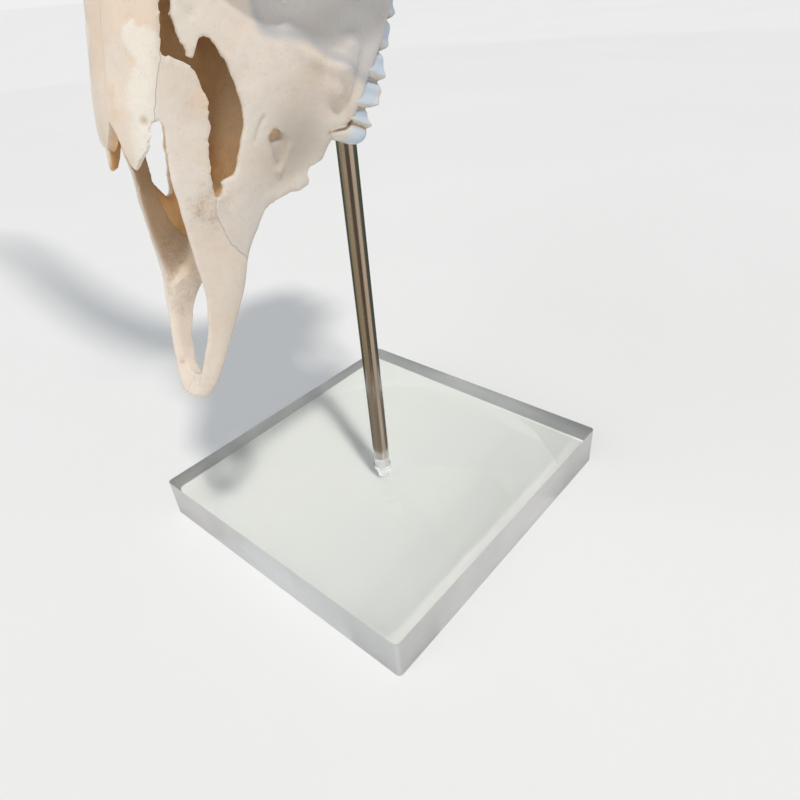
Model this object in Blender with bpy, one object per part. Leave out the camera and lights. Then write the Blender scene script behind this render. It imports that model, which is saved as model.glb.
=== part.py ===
"""Impala skull, a ram's without its lower jaw, held nose down by a steel rod on a clear block.

The model's origin is the middle of the block's underside, with +Z up. The skull is drawn in its own frame,
in millimetres: x to its left, y backwards from the tip of the nose, z up from the edge of the tooth row.
An empty carries that frame into the pose. The skull is modelled whole and then parted along its sutures.
"""

import math

import bmesh
import bpy
import numpy as np
from mathutils import Matrix, Vector

MM = 0.001
GAP = 0.3

# Block and rod
BLOCK_X = 127.0
BLOCK_Y = 121.0
BLOCK_THICK = 16.3
BLOCK_EDGE = 0.8
ROD_X = -4.4
ROD_Y = -2.6
ROD_RADIUS = 3.0
ROD_TOP = 252.0
ROD_EDGE = 0.6
STUD_RADIUS = 1.8
STUD_FOOT = 6.0
SLEEVE_FOOT = 13.3
SLEEVE_TOP = 20.0
ROUND_SIDES = 24

# Pose: this point of the skull lies on the rod's axis at this height
TILT = math.radians(59.5)
HELD_Y = 131.7
HELD_Z = 8.0
HELD_HEIGHT = 201.6

# Snout, from the tip of the nose to the eye sockets: places along y, and the size there
EDGE_Z = [(-0.5, 6.6), (5, 7), (20, 8.4), (31, 8.9), (43, 10.2), (50, 8.9), (56, 6.0), (61, 2), (67, 0.4),
          (72, 0), (132, 0)]
EDGE_HALF = [(-0.5, 4.0), (3, 6.4), (15, 10), (31, 12.2), (45, 13.6), (52, 14.8), (60, 17.8), (71, 22),
             (80, 24.5), (93, 26.5), (110, 27.5), (132, 26)]
SHOULDER_Z = [(-0.5, 9.4), (20, 14.8), (30, 19.8), (41, 27.5), (50, 33.5), (60, 38.2), (71, 41.4), (81, 44),
              (95, 47.5), (110, 51.5), (132, 56)]
SHOULDER_HALF = [(-0.5, 3.4), (3, 5.2), (8, 7), (19, 10), (30, 11.4), (41, 11.2), (50, 11.6), (60, 12.2),
                 (72, 12.8), (81, 13.4), (100, 15), (115, 17), (132, 24)]
ROOF_Z = [(-0.5, 11), (30, 25), (44, 35), (51, 39.5), (58, 43), (70, 46.5), (80, 49.2), (100, 55), (120, 61),
          (145, 68), (165, 76), (178, 80), (192, 80.5)]
WALL = 2.4
WALL_BULGE = 1.0
CANAL_AT = (66.0, 15.0)
CANAL_REACH = (7.0, 4.5)
CANAL_WALL = 2.4
PALATE_Z = 6.5
FLOOR_THICK = 3.0
SNOUT_STEP = 3.0
SNOUT_START = -0.5
SNOUT_END = 132.0
SLOT_HALF = [(5.5, 0.5), (8, 3.2), (12, 5.6), (19, 7.4), (23.6, 7.6), (28.3, 6.0), (31, 3.8), (33.2, 0.6)]
SLOT_BACK = 33.0
SLOT_RAMP = 11.0
BAR_SLOPE = 1.3
NOSE_WALL_Y = 126.0
NOSE_WALL_HALF = 20.0
THROAT_HALF = 13.5

# Openings seen from the side, as outlines in y and z
LEFT_BLADE_TOP = [(-12, 10.4), (2.5, 10.6), (10, 12.6), (18.7, 15), (27.5, 18.8), (35, 23.7), (41.3, 27.5),
                  (47, 31.2), (50.6, 33.6), (56, 36.2), (60.4, 38.1)]
RIGHT_BLADE_TOP = [(-12, 10.4), (2.5, 10.6), (10, 12.4), (18.7, 14.6), (27.3, 17), (34.2, 21), (40.1, 24.7),
                   (45, 27.4), (51.3, 30.4), (56, 33.8), (60.4, 38.1)]
NASAL_EDGE = [(50.2, 38.0), (55, 38.7), (59.8, 39.6), (62.5, 40.6), (66, 41.3), (70.2, 42.0), (73.3, 42.1),
              (76.6, 42.9), (81, 44.1), (92, 46.6), (104, 50.2), (114, 56), (124, 66)]
PROCESS_REAR = [(49.2, 23.4), (50.6, 24.4), (53.6, 26.0), (58.4, 28.1), (61.5, 29.0), (64.0, 29.5),
                (66.1, 30.4), (67.9, 31.1), (69.9, 33.0), (72.4, 35.8), (72.9, 39.0), (72.0, 42.1)]
VACUITY_UPPER = [(73.3, 42.15), (76.6, 42.95), (81, 44.15), (92, 46.65), (93, 45.4), (83, 42.9)]
SPUR = [(79.9, 42.0), (77.2, 39.9), (75.4, 37.9), (73.9, 36.6), (75.6, 36.1), (78.3, 36.0)]
VACUITY_FRONT = [(78.9, 35.0), (77.2, 31.6), (74.8, 29.0), (71.8, 26.2), (69.4, 24.4), (65.8, 22.7),
                 (61.5, 21.9), (57.5, 21.4), (55.6, 21.6), (53.6, 23.7), (51.0, 22.6)]
RIGHT_CORNER = [(58.6, 23.5), (58.4, 20.8), (53, 19.9), (48.4, 18.6), (47.6, 19.8), (50, 24.6), (56, 26.6)]

# Outlines in x and y: the nasal bones' front ends, and a slit in the palate
LEFT_NASAL_TIP = [(-1, 30), (-1, 58.6), (0, 58.6), (0.8, 57.9), (2.4, 55.8), (3.3, 53.4), (5.2, 50.3),
                  (7.3, 52.6), (9.3, 54.8), (10.9, 57.4), (11.6, 60.2), (30, 61), (30, 30)]
RIGHT_NASAL_TIP = [(1, 30), (1, 58.6), (0, 58.6), (-0.8, 56.8), (-2.4, 55), (-4.8, 53.2), (-7.5, 54),
                   (-9.6, 55.8), (-11.2, 58), (-12, 60.2), (-30, 61), (-30, 30)]
PALATE_SLIT = [(3.2, 36), (3.4, 46), (4.4, 51.5), (6.8, 51), (8.2, 46), (7.6, 39), (5.8, 35)]

# Lines between the bones, in y and z
NOSE_SUTURE = [(37.4, 0), (37.6, 8), (38.6, 11.2), (39.5, 13.2), (40.8, 16.9), (44.4, 21.2), (46.4, 23),
               (52, 24.2)]
FACE_TEAR_LINE = [(103.5, 50.6), (106, 44), (110, 37), (113, 29.8)]
FACE_CHEEK_LINE = [(112.8, 30.2), (114, 24), (117, 17), (123, 12.6), (136, 11)]
TEAR_CHEEK_LINE = [(112.6, 30.2), (122, 28), (141, 29)]
EYE_BAR_LINE = [(156, 36), (178, 39)]
ARCH_LINE = [(163, 14), (171, 42)]
TEAR_BROW_LINE = [(103, 50.4), (114, 51.5), (124, 52.5), (131, 53.5), (141, 48)]
BROW_LINE = [(126, 49.8), (140, 49), (156, 52), (173, 57)]
CROWN_LINE = [(173, 57), (184, 61), (192, 68), (199, 76), (206, 85), (232, 112)]

# Frontal roof, half width and edge height
FRONTAL_HALF = [(112, 15), (122, 27), (132, 39), (142, 47), (152, 50.5), (162, 50.5), (170, 45), (180, 34),
                (192, 27)]
FRONTAL_EDGE_Z = [(112, 50), (122, 53), (132, 55.5), (142, 59), (152, 62), (162, 63), (170, 63), (180, 64),
                  (192, 66)]
FRONTAL_STEP = 4.0
FRONTAL_EDGE_THICK = 4.0
FRONTAL_SAG = 9.0

# Eye sockets
ORBIT = (45.5, 148.0, 42.5)
ORBIT_AXIS = (0.90, -0.36, 0.25)
ORBIT_RADIUS = 20.5
RIM_RADIUS = 2.7
RIM_STEPS = 36
RIM_SIDES = 10
ORBIT_HOLLOW = [(12, 21.5), (1, 18.5), (-6, 18.1), (-18, 14), (-30, 5)]

# Bars and lumps of the left side and the middle: a bar is its path and its radii, a lump its centre and radii
CHEEK = ([(19, 92, 26), (25, 104, 26), (32, 116, 27), (38.5, 127, 30)],
         [(5, 14), (6, 16), (6.5, 17), (6, 16)])
ARCH = ([(26, 104, 12), (33, 115, 13), (40, 127, 16), (46, 139, 19), (49.5, 152, 21.5), (50, 164, 25),
         (47.5, 175, 29), (42, 184, 33), (34, 192, 36), (27, 198, 38)],
        [(5, 5), (5, 6), (4.2, 7), (3.6, 7), (3.2, 6.4), (3, 5.6), (3, 5.6), (3.6, 6), (5, 6), (5, 7)])
TEAR_BONE = ([(14, 94, 40), (20, 106, 41), (28, 117, 43), (37, 127, 45)],
             [(4, 8), (6, 13), (7, 15), (6, 13)])
EDGE_SPUR = ([(15.4, 54.6, 8.0), (16.2, 57.6, 5.4), (16.7, 59.2, 3.6), (17.0, 60.1, 2.3)],
             [1.7, 1.4, 1.2, 0.8])
FACE_BUMP = ((24, 86, 6), (3.2, 8, 3.4))
BRAIN_CASE = ((0, 196, 53), (32.5, 39, 27))
BRAIN_REAR = ((0, 222, 50), (31, 17, 23))
CORE = ([(0, 121, 38), (0, 135, 38), (0, 150, 40), (0, 168, 46)],
        [(20, 24), (17, 21), (17, 20), (22, 22)])
SKULL_FLOOR = ([(0, 150, 21), (0, 170, 24), (0, 200, 26), (0, 232, 28)],
               [(7, 6), (9, 6), (12, 7), (14, 9)])
NAPE_CREST = ([(-27, 222, 52), (-16, 231, 63), (0, 234, 67), (16, 231, 63), (27, 222, 52)],
              [3, 3.4, 4, 3.4, 3])
CONDYLE = ((11.5, 238, 31), (8, 8, 11))
CONDYLE_LEAN = -0.4
EAR_BULLA = ((17, 205, 22), (6.5, 11, 9))
EAR_MOUND = ((29, 208, 37), (7, 9, 9))
NAPE_SPIKE = ([(22, 226, 34), (23, 227, 22), (22, 226, 11)], [(4, 6), (3, 5), (1.6, 3)])
THROAT_WING = ([(9.5, 127, 14), (9.5, 140, 17), (10, 152, 19), (11, 165, 23)],
               [(2, 10), (1.9, 11), (1.9, 10), (3, 6)])
WING_HOOK = ([(10, 150, 20), (10.5, 155, 12), (11, 158, 5)], [(1.8, 5), (1.7, 4), (1.4, 2)])
NASAL_LEAF = ([(-8, 62, 38), (-7.4, 57, 37.9), (-6.8, 53, 37.7), (-6.2, 50.8, 37.6), (-5.8, 49.6, 37.8)],
              [(0.9, 2.6), (0.9, 3.8), (0.9, 3.6), (0.8, 2.2), (0.4, 0.7)])
LEAF_UP = (0.68, 0, 0.73)

# Holes: a path and its radii
FACE_HOLE = ([(17.3, 60.4, 12.4), (18.1, 64.2, 14.0), (18.3, 66.2, 14.9), (17.8, 67.8, 15.6),
              (17.0, 69.0, 16.0)], [0.5, 1.5, 1.95, 1.9, 1.0])
MARGIN_NOTCH = ([(11, 62.9, 0.9), (23, 62.7, 1.3)], [1.7, 1.7])
EAR_HOLE = ([(40, 210, 37), (26, 207, 38)], [3.0, 2.2])
GREAT_HOLE = ([(0, 212, 40), (0, 226, 39), (0, 236, 38), (0, 252, 38)],
              [(3, 3), (8, 7), (9.5, 8.5), (11, 10)])
THROAT_TOPS = [(112, 13), (128, 21), (146, 19)]
THROAT_OPEN_HALF = 8.0
THROAT_ARCH = 6.0

# Horns: length along the curve, and the angles that it leans back and out, by share of the length
HORN_ROOT = (21.0, 174.0, 76.0)
HORN_LENGTH = 490.0
HORN_START = 17.0
CORE_LENGTH = 120.0
CORE_SLIM = 0.42
HORN_RADIUS = 19.5
HORN_WALL = 2.3
CORE_ROOM = 0.9
HORN_OVAL = 0.88
CORE_OVAL = 0.86
CORE_SIDES = 16
HORN_RISE = [(0, 58), (0.12, 50), (0.3, 36), (0.5, 36), (0.7, 50), (0.85, 62), (1, 70)]
HORN_SPLAY = [(0, 14), (0.12, 24), (0.3, 40), (0.5, 30), (0.7, 6), (0.85, -4), (1, -10)]
HORN_TAPER = [(0, 1), (0.08, 0.94), (0.3, 0.8), (0.5, 0.66), (0.7, 0.48), (0.85, 0.3), (0.95, 0.15),
              (1, 0.05)]
RING_COUNT = 20
RING_SHARE = 0.72
RING_HEIGHT = 0.055
HORN_SIDES = 12

# Cheek teeth: the front of each lobe along y, the width of the crown across, and how far it stands out
TOOTH_FRONTS = [70.8, 77.4, 82.4, 89.1, 95.3, 101.7, 108.1, 114.6, 121.0, 127.0]
TOOTH_WIDTHS = [6.0, 8.0, 9.5, 11.0, 11.0, 11.5, 11.5, 11.5, 11.0, 6.5]
TOOTH_END = 131.0
TOOTH_SPACE = 0.5
LOBE_MIDDLE = 0.45
CUSP_SLOPE = 2.2
TONGUE_RISE = 1.3

# Down a crown: heights, and how far its front corner stands forward there
TOOTH_ROOT = (4.0, -0.6)
TOOTH_NECK = (0.4, -0.2)
TOOTH_WAIST = (-4.0, 0.3)
TIP_FLARE = 0.1

# The same lobes: where along them the cusp stands, how low it reaches, and how far out
TOOTH_PEAKS = [0.4, 0.08, 0.5, 0.22, 0.45, 0.25, 0.45, 0.25, 0.45, 0.4]
TOOTH_TIPS = [-6.2, -7.8, -7.0, -6.7, -6.4, -6.3, -6.2, -6.2, -6.1, -5.6]
TOOTH_REACH = [22.9, 24.5, 25.4, 25.7, 24.6, 24.3, 24.2, 24.2, 24.0, 23.4]

# Fineness of the solids
VOXEL = 1.3
SKULL_FACES = 5600


def clear_scene():
    for item in list(bpy.data.objects):
        bpy.data.objects.remove(item)


def flow(knots, at):
    """A smooth curve through the knots, read at one place or at several."""
    knots = np.array(knots, float)
    x, y = knots[:, 0], knots[:, 1]
    slope = np.gradient(y, x)
    at = np.clip(at, x[0], x[-1])
    k = np.clip(np.searchsorted(x, at, side="right") - 1, 0, len(x) - 2)
    width = x[k + 1] - x[k]
    t = (at - x[k]) / width
    rise = y[k + 1] - y[k]
    first, last = slope[k] * width, slope[k + 1] * width
    return y[k] + t * (first + t * ((3 * rise - 2 * first - last) + t * (first + last - 2 * rise)))


def new_object(name, points, faces):
    """A mesh object from points in millimetres, with its faces pointing out."""
    mesh = bpy.data.meshes.new(name)
    mesh.from_pydata([tuple(MM * float(c) for c in p) for p in points], [], faces)
    build = bmesh.new()
    build.from_mesh(mesh)
    bmesh.ops.recalc_face_normals(build, faces=build.faces)
    bmesh.ops.triangulate(build, faces=[f for f in build.faces if len(f.verts) > 4])
    build.to_mesh(mesh)
    build.free()
    item = bpy.data.objects.new(name, mesh)
    bpy.context.scene.collection.objects.link(item)
    return item


def loft(name, rings):
    """A closed body through rings of equal numbers of points."""
    count = len(rings[0])
    points = [p for ring in rings for p in ring]
    faces = [tuple(reversed(range(count))), tuple(range(len(points) - count, len(points)))]
    for r in range(len(rings) - 1):
        for k in range(count):
            a, b = r * count + k, r * count + (k + 1) % count
            faces.append((a, b, b + count, a + count))
    return new_object(name, points, faces)


def prism(name, outline, low, high, axis="x"):
    """An outline pushed straight through: in y and z along x, or in x and y along z."""
    if axis == "x":
        rings = [[(c, a, b) for a, b in outline] for c in (low, high)]
    else:
        rings = [[(a, b, c) for a, b in outline] for c in (low, high)]
    return loft(name, rings)


def tube(name, path, radii, sides=14, up=(0, 0, 1)):
    """A round or oval bar along a path. Each radius is one number, or two: across, and along up."""
    path = np.array(path, float)
    rings = []
    for k, centre in enumerate(path):
        along = path[min(k + 1, len(path) - 1)] - path[max(k - 1, 0)]
        along = along / np.linalg.norm(along)
        side = np.cross(along, up)
        side = side / np.linalg.norm(side)
        rise = np.cross(side, along)
        wide, tall = radii[k] if isinstance(radii[k], tuple) else (radii[k], radii[k])
        turn = np.linspace(0, 2 * math.pi, sides, endpoint=False)
        rings.append([centre + wide * math.cos(t) * side + tall * math.sin(t) * rise for t in turn])
    return loft(name, rings)


def ball(name, centre, radii, lean=0.0):
    """An ellipsoid, which leans about the x axis."""
    mesh = bpy.data.meshes.new(name)
    build = bmesh.new()
    bmesh.ops.create_uvsphere(build, u_segments=24, v_segments=14, radius=1.0)
    bmesh.ops.scale(build, vec=Vector(radii) * MM, verts=build.verts)
    bmesh.ops.rotate(build, matrix=Matrix.Rotation(lean, 3, "X"), verts=build.verts)
    bmesh.ops.translate(build, vec=Vector(centre) * MM, verts=build.verts)
    build.to_mesh(mesh)
    build.free()
    item = bpy.data.objects.new(name, mesh)
    bpy.context.scene.collection.objects.link(item)
    return item


def flipped(points, side):
    return [(side * p[0],) + tuple(p[1:]) for p in points]


def apply_modifiers(item):
    """Puts what the modifiers make into the object's own mesh."""
    shaped = item.evaluated_get(bpy.context.evaluated_depsgraph_get())
    mesh = bpy.data.meshes.new_from_object(shaped)
    item.modifiers.clear()
    item.data = mesh


def joined(name, items):
    """One object that holds the meshes of several."""
    build = bmesh.new()
    for item in items:
        build.from_mesh(item.data)
    mesh = bpy.data.meshes.new(name)
    build.to_mesh(mesh)
    build.free()
    for item in items:
        bpy.data.objects.remove(item)
    whole = bpy.data.objects.new(name, mesh)
    bpy.context.scene.collection.objects.link(whole)
    return whole


def melted(name, items):
    """The pieces run together into one skin, with soft joins."""
    whole = joined(name, items)
    skin = whole.modifiers.new("skin", "REMESH")
    skin.mode = "VOXEL"
    skin.voxel_size = VOXEL * MM
    ease = whole.modifiers.new("ease", "SMOOTH")
    ease.factor = 0.5
    ease.iterations = 4
    apply_modifiers(whole)
    return whole


def boolean(item, others, operation):
    """Cuts the others out of the item, or joins them to it, and removes them."""
    group = bpy.data.collections.new("tools")
    for other in others:
        group.objects.link(other)
    step = item.modifiers.new(operation, "BOOLEAN")
    step.operation = operation
    step.solver = "MANIFOLD"
    step.operand_type = "COLLECTION"
    step.collection = group
    apply_modifiers(item)
    for other in others:
        bpy.data.objects.remove(other)
    bpy.data.collections.remove(group)


def ribbon(name, line, low, high, axis="x", thick=GAP):
    """A thin wall that parts two bones, along a line in y and z, or in x and y where it stands along z."""
    line = np.array(line, float)
    ahead = np.gradient(line, axis=0)
    ahead = ahead / np.linalg.norm(ahead, axis=1)[:, None]
    across = np.column_stack([-ahead[:, 1], ahead[:, 0]]) * thick / 2
    outline = [tuple(p) for p in line + across] + [tuple(p) for p in (line - across)[::-1]]
    return prism(name, outline, low, high, axis)


def square_ribbon(name, line, low, high):
    """The same along z with square corners, for a line whose stretches run along x or y."""
    walls = []
    for (x0, y0), (x1, y1) in zip(line[:-1], line[1:]):
        half = GAP / 2
        box = [(min(x0, x1) - half, min(y0, y1) - half), (max(x0, x1) + half, min(y0, y1) - half),
               (max(x0, x1) + half, max(y0, y1) + half), (min(x0, x1) - half, max(y0, y1) + half)]
        walls.append(prism(name, box, low, high, "z"))
    return walls


def wall_half(y, z):
    """Half of the snout's width at y, at a height between the edge and the shoulder."""
    low, shoulder = flow(EDGE_Z, y), flow(SHOULDER_Z, y)
    share = min(1.0, max(0.0, (z - low) / (shoulder - low)))
    straight = flow(EDGE_HALF, y) * (1 - share) + flow(SHOULDER_HALF, y) * share
    return straight + WALL_BULGE * math.sin(math.pi * share)


def wall_thick(y, z):
    """The thickness of the snout's side wall, which is greater where a canal runs behind the face hole."""
    away = ((y - CANAL_AT[0]) / CANAL_REACH[0]) ** 2 + ((z - CANAL_AT[1]) / CANAL_REACH[1]) ** 2
    return WALL + CANAL_WALL * math.exp(-away)


def snout_section(y, low=None):
    """Half of the snout's section at y, from the middle of its underside round to the middle of its roof.

    With the height of a floor, it is the section of the space inside the snout.
    """
    bottom = flow(EDGE_Z, y) if low is None else low
    shoulder = flow(SHOULDER_Z, y)
    roof = flow(ROOF_Z, y) - (0.0 if low is None else WALL)
    wall = []
    for t in np.linspace(0.06, 1, 9):
        z = bottom + (shoulder - bottom) * t
        wall.append((wall_half(y, z) - (0.0 if low is None else wall_thick(y, z)), z))
    points = [(0.0, bottom), (wall[0][0] - 1.2, bottom)] + wall
    if roof <= shoulder:
        return points + [(0.0, shoulder + 0.01)]
    narrow = wall[-1][0]
    for t in np.linspace(0, math.pi / 2, 8)[1:]:
        points.append((narrow * math.cos(t), shoulder + (roof - shoulder) * math.sin(t)))
    return points


def both_sides(half):
    """A whole ring from the half with x at or above 0."""
    return half + [(-x, z) for x, z in half[-2:0:-1]]


def snout():
    rings = []
    for y in np.arange(SNOUT_START, SNOUT_END + 0.1, SNOUT_STEP / 2):
        rings.append([(x, y, z) for x, z in both_sides(snout_section(y))])
    return loft("snout", rings)


def frontal_roof():
    rings = []
    for y in np.arange(112, 192.1, FRONTAL_STEP):
        half, edge = flow(FRONTAL_HALF, y), flow(FRONTAL_EDGE_Z, y)
        top = max(flow(ROOF_Z, y), edge + 3)
        crown = []
        for t in np.linspace(math.pi / 2, 0.1, 9):
            crown.append((half * math.cos(t), edge + (top - edge) * math.sin(t) ** 0.8))
        under = []
        for s in np.linspace(1, 0, 6):
            under.append((half * s, edge - FRONTAL_EDGE_THICK - FRONTAL_SAG * (1 - s)))
        rings.append([(x, y, z) for x, z in both_sides(crown + under)])
    return loft("frontal roof", rings)


def orbit_frame():
    """Two directions in the plane of an eye socket's rim, and its axis."""
    axis = np.array(ORBIT_AXIS) / np.linalg.norm(ORBIT_AXIS)
    back = np.cross((0, 0, 1), axis)
    back = back / np.linalg.norm(back)
    return back, np.cross(axis, back), axis


def orbit_rims():
    back, up, axis = orbit_frame()
    rims = []
    for side in (1, -1):
        rings = []
        for turn in np.linspace(0, 2 * math.pi, RIM_STEPS, endpoint=False):
            out = math.cos(turn) * back + math.sin(turn) * up
            ring = []
            for t in np.linspace(0, 2 * math.pi, RIM_SIDES, endpoint=False):
                spread = RIM_RADIUS * (1.25 * math.cos(t) * out + 1.1 * math.sin(t) * axis)
                ring.append(np.array(ORBIT) + ORBIT_RADIUS * out + spread)
            rings.append(flipped([tuple(p) for p in ring], side))
        points = [p for ring in rings for p in ring]
        faces = []
        for r in range(RIM_STEPS):
            here, there = r * RIM_SIDES, ((r + 1) % RIM_STEPS) * RIM_SIDES
            for k in range(RIM_SIDES):
                after = (k + 1) % RIM_SIDES
                faces.append((here + k, here + after, there + after, there + k))
        rims.append(new_object("orbit rim", points, faces))
    return rims


def bar(name, form, side, up=(0, 0, 1)):
    """One of the bars above, on the left or mirrored to the right."""
    path, radii = form
    return tube(name, flipped(path, side), radii, up=up)


def lump(name, form, side, lean=0.0):
    centre, radii = form
    return ball(name, flipped([centre], side)[0], radii, lean)


def cheeks():
    """The wall that widens from the face to the eye socket, and the arch behind it."""
    pieces = []
    for side in (1, -1):
        pieces.append(bar("cheek", CHEEK, side))
        pieces.append(bar("arch", ARCH, side))
        pieces.append(bar("tear bone", TEAR_BONE, side))
        pieces.append(lump("face bump", FACE_BUMP, side))
        pieces.append(bar("edge spur", EDGE_SPUR, side))
    return pieces


def cranium():
    """The brain's case, the floor of the skull and what stands on them."""
    pieces = [
        lump("case", BRAIN_CASE, 1),
        lump("rear", BRAIN_REAR, 1),
        bar("core", CORE, 1),
        bar("floor", SKULL_FLOOR, 1),
        bar("nape crest", NAPE_CREST, 1),
    ]
    for side in (1, -1):
        pieces += [
            lump("condyle", CONDYLE, side, CONDYLE_LEAN),
            lump("bulla", EAR_BULLA, side),
            lump("ear", EAR_MOUND, side),
            bar("nape spike", NAPE_SPIKE, side, (0, 1, 0)),
            bar("throat wing", THROAT_WING, side),
            bar("wing hook", WING_HOOK, side),
        ]
    return pieces


def horn_line(side, start=0.0, end=1.0, steps=60):
    """Points along the middle of a horn, and the share of its length at each."""
    fine = 400
    shares = (np.arange(fine) + 0.5) / fine
    rise, splay = np.radians(flow(HORN_RISE, shares)), np.radians(flow(HORN_SPLAY, shares))
    step = np.column_stack([np.sin(splay), np.cos(splay) * np.cos(rise), np.cos(splay) * np.sin(rise)])
    line = np.vstack([np.zeros(3), np.cumsum(step * HORN_LENGTH / fine, axis=0)]) + np.array(HORN_ROOT)
    wanted = np.linspace(start, end, steps) if np.isscalar(steps) else np.array(steps)
    places = np.column_stack([np.interp(wanted, np.linspace(0, 1, fine + 1), line[:, k]) for k in range(3)])
    places[:, 0] *= side
    return places, wanted


def core_radii(shares, length):
    root = HORN_RADIUS - HORN_WALL - CORE_ROOM
    return [root * (1 - CORE_SLIM * (s * HORN_LENGTH / length) ** 1.5) for s in shares]


def horn_core(side):
    """The bone inside the horn, rooted in the frontal bone."""
    line, shares = horn_line(side, 0, CORE_LENGTH / HORN_LENGTH, 12)
    line[0] = line[1] + (line[0] - line[1]) * 2.0
    radii = [(CORE_OVAL * r, r) for r in core_radii(shares, CORE_LENGTH)]
    return tube("horn core", line, radii, CORE_SIDES, (0, 1, 0))


def core_hollow(side):
    """The room for the core inside the horn, a little larger than the core."""
    line, shares = horn_line(side, 0, (CORE_LENGTH + 1) / HORN_LENGTH, 12)
    radii = [(CORE_OVAL * r + CORE_ROOM, r + CORE_ROOM) for r in core_radii(shares, CORE_LENGTH + 1)]
    return tube("hollow", line, radii, CORE_SIDES, (0, 1, 0))


def horn_sheath(name, side):
    """The ringed horn: each ring is a low ridge, and the tip is smooth."""
    shares = [HORN_START / HORN_LENGTH]
    for k in range(RING_COUNT):
        ring = HORN_START / HORN_LENGTH + (RING_SHARE - HORN_START / HORN_LENGTH) * (k + 0.5) / RING_COUNT
        half = 0.5 * RING_SHARE / RING_COUNT
        shares += [ring, ring + 0.55 * half]
    shares += list(np.linspace(RING_SHARE + 0.03, 1, 10))
    line, shares = horn_line(side, steps=shares)
    radii = HORN_RADIUS * flow(HORN_TAPER, shares)
    for k in range(RING_COUNT):
        fade = min(1, 3 * (1 - k / RING_COUNT))
        radii[1 + 2 * k] *= 1 + RING_HEIGHT * fade
        radii[2 + 2 * k] *= 1 - 0.4 * RING_HEIGHT * fade
    sheath = tube(name, line, [(HORN_OVAL * r, r) for r in radii], HORN_SIDES, (0, 1, 0))
    boolean(sheath, [core_hollow(side)], "DIFFERENCE")
    return sheath


def teeth(side):
    """The cheek teeth of one side, each lobe a crown that flares at its front corner down to one cusp."""
    lobes = []
    ends = TOOTH_FRONTS[1:] + [TOOTH_END]
    for k, (front, end, width) in enumerate(zip(TOOTH_FRONTS, ends, TOOTH_WIDTHS)):
        rear = end - TOOTH_SPACE
        neck = flow(EDGE_HALF, (front + rear) / 2)
        tip, reach, peak = TOOTH_TIPS[k], TOOTH_REACH[k], TOOTH_PEAKS[k]
        rings = []
        for z, flare in (TOOTH_ROOT, TOOTH_NECK, TOOTH_WAIST, (tip, TIP_FLARE)):
            outer = np.interp(z, [tip, TOOTH_NECK[0], TOOTH_ROOT[0]], [reach, neck - 0.6, neck - 2.3])
            cusp = CUSP_SLOPE if z == tip else 0.0
            inner = z + (TONGUE_RISE if z == tip else 0.0)
            ring = [
                (outer, front - flare, z + cusp * peak),
                (outer - 0.9, front + LOBE_MIDDLE * (rear - front), z + cusp * abs(LOBE_MIDDLE - peak)),
                (outer - 0.2, rear + 0.3 * flare, z + cusp * (1 - peak)),
                (outer - width, rear - 0.6, inner),
                (outer - width - 0.6, (front + rear) / 2, inner),
                (outer - width, front + 0.8, inner),
            ]
            rings.append([(side * x, y, z) for x, y, z in ring])
        lobes.append(loft("tooth", rings))
    return lobes


def nasal_space():
    """The space inside the snout, open to the front, to the sides and to the throat."""
    rings = []
    for y in list(np.arange(SLOT_BACK - SLOT_RAMP, 125, SNOUT_STEP)) + [NOSE_WALL_Y + 1.5]:
        floor = flow(EDGE_Z, y) + FLOOR_THICK if y < 56 else PALATE_Z + FLOOR_THICK
        floor += (flow(SHOULDER_Z, y) - floor) * max(0.0, (SLOT_BACK - y) / SLOT_RAMP)
        rings.append([(x, y, z) for x, z in both_sides(snout_section(y, low=floor))])
    return loft("nasal space", rings)


def front_slot():
    """The slot between the two bars that carry the upper lip."""
    rings = []
    for y in np.arange(SLOT_HALF[0][0], SLOT_HALF[-1][0] + 0.1, SNOUT_STEP / 2):
        low, top = flow(EDGE_Z, y), flow(SHOULDER_Z, y)
        half = flow(SLOT_HALF, y)
        ridge = max(half, min(flow(SHOULDER_HALF, y) - WALL, half * 3))
        half_ring = [(0.0, low - 12), (half, low - 12), (half, low), (ridge, top), (ridge, top + 14)]
        rings.append([(x, y, z) for x, z in both_sides(half_ring + [(0.0, top + 14)])])
    return loft("front slot", rings)


def bar_slope(outline, side):
    """The inward slope along the top of one bar and of the blade behind it."""
    rings = []
    for y in np.arange(3, 58.1, SNOUT_STEP / 2):
        top, half = flow(outline, y), flow(SHOULDER_HALF, y)
        low, high = top - BAR_SLOPE, top + 0.5
        ring = [(0.0, y, low), (half - WALL, y, low), (half - 0.7, y, high), (0.0, y, high)]
        rings.append(flipped(ring, side))
    return loft("bar slope", rings)


def palate_hollow():
    """The vault of the palate between the tooth rows."""
    rings = []
    for y in np.arange(36, 121.1, SNOUT_STEP):
        half = flow(EDGE_HALF, y) - (4.0 if y < 66 else 4.0 + 8.0 * min(1, (y - 66) / 10))
        vault = PALATE_Z if y > 60 else flow(EDGE_Z, y) + 0.8
        arch = [(half * math.cos(t), vault * math.sin(t)) for t in np.linspace(0, math.pi / 2, 6)]
        base = [(0.0, -12.0), (half + 1.5, -12.0)]
        if y < 60:
            arch = [(half * math.cos(t), vault - 2 + 2 * math.sin(t)) for t in np.linspace(0, math.pi / 2, 6)]
        rings.append([(x, y, z) for x, z in both_sides(base + arch)])
    return loft("palate hollow", rings)


def throat():
    """The way from the nose to the throat, behind the palate."""
    rings = []
    for y, top in THROAT_TOPS:
        ring = [(-THROAT_OPEN_HALF, y, -12), (THROAT_OPEN_HALF, y, -12)]
        for t in np.linspace(0, math.pi, 9):
            ring.append((THROAT_OPEN_HALF * math.cos(t), y, top - THROAT_ARCH * (1 - math.sin(t))))
        rings.append(ring)
    return loft("throat", rings)


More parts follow.
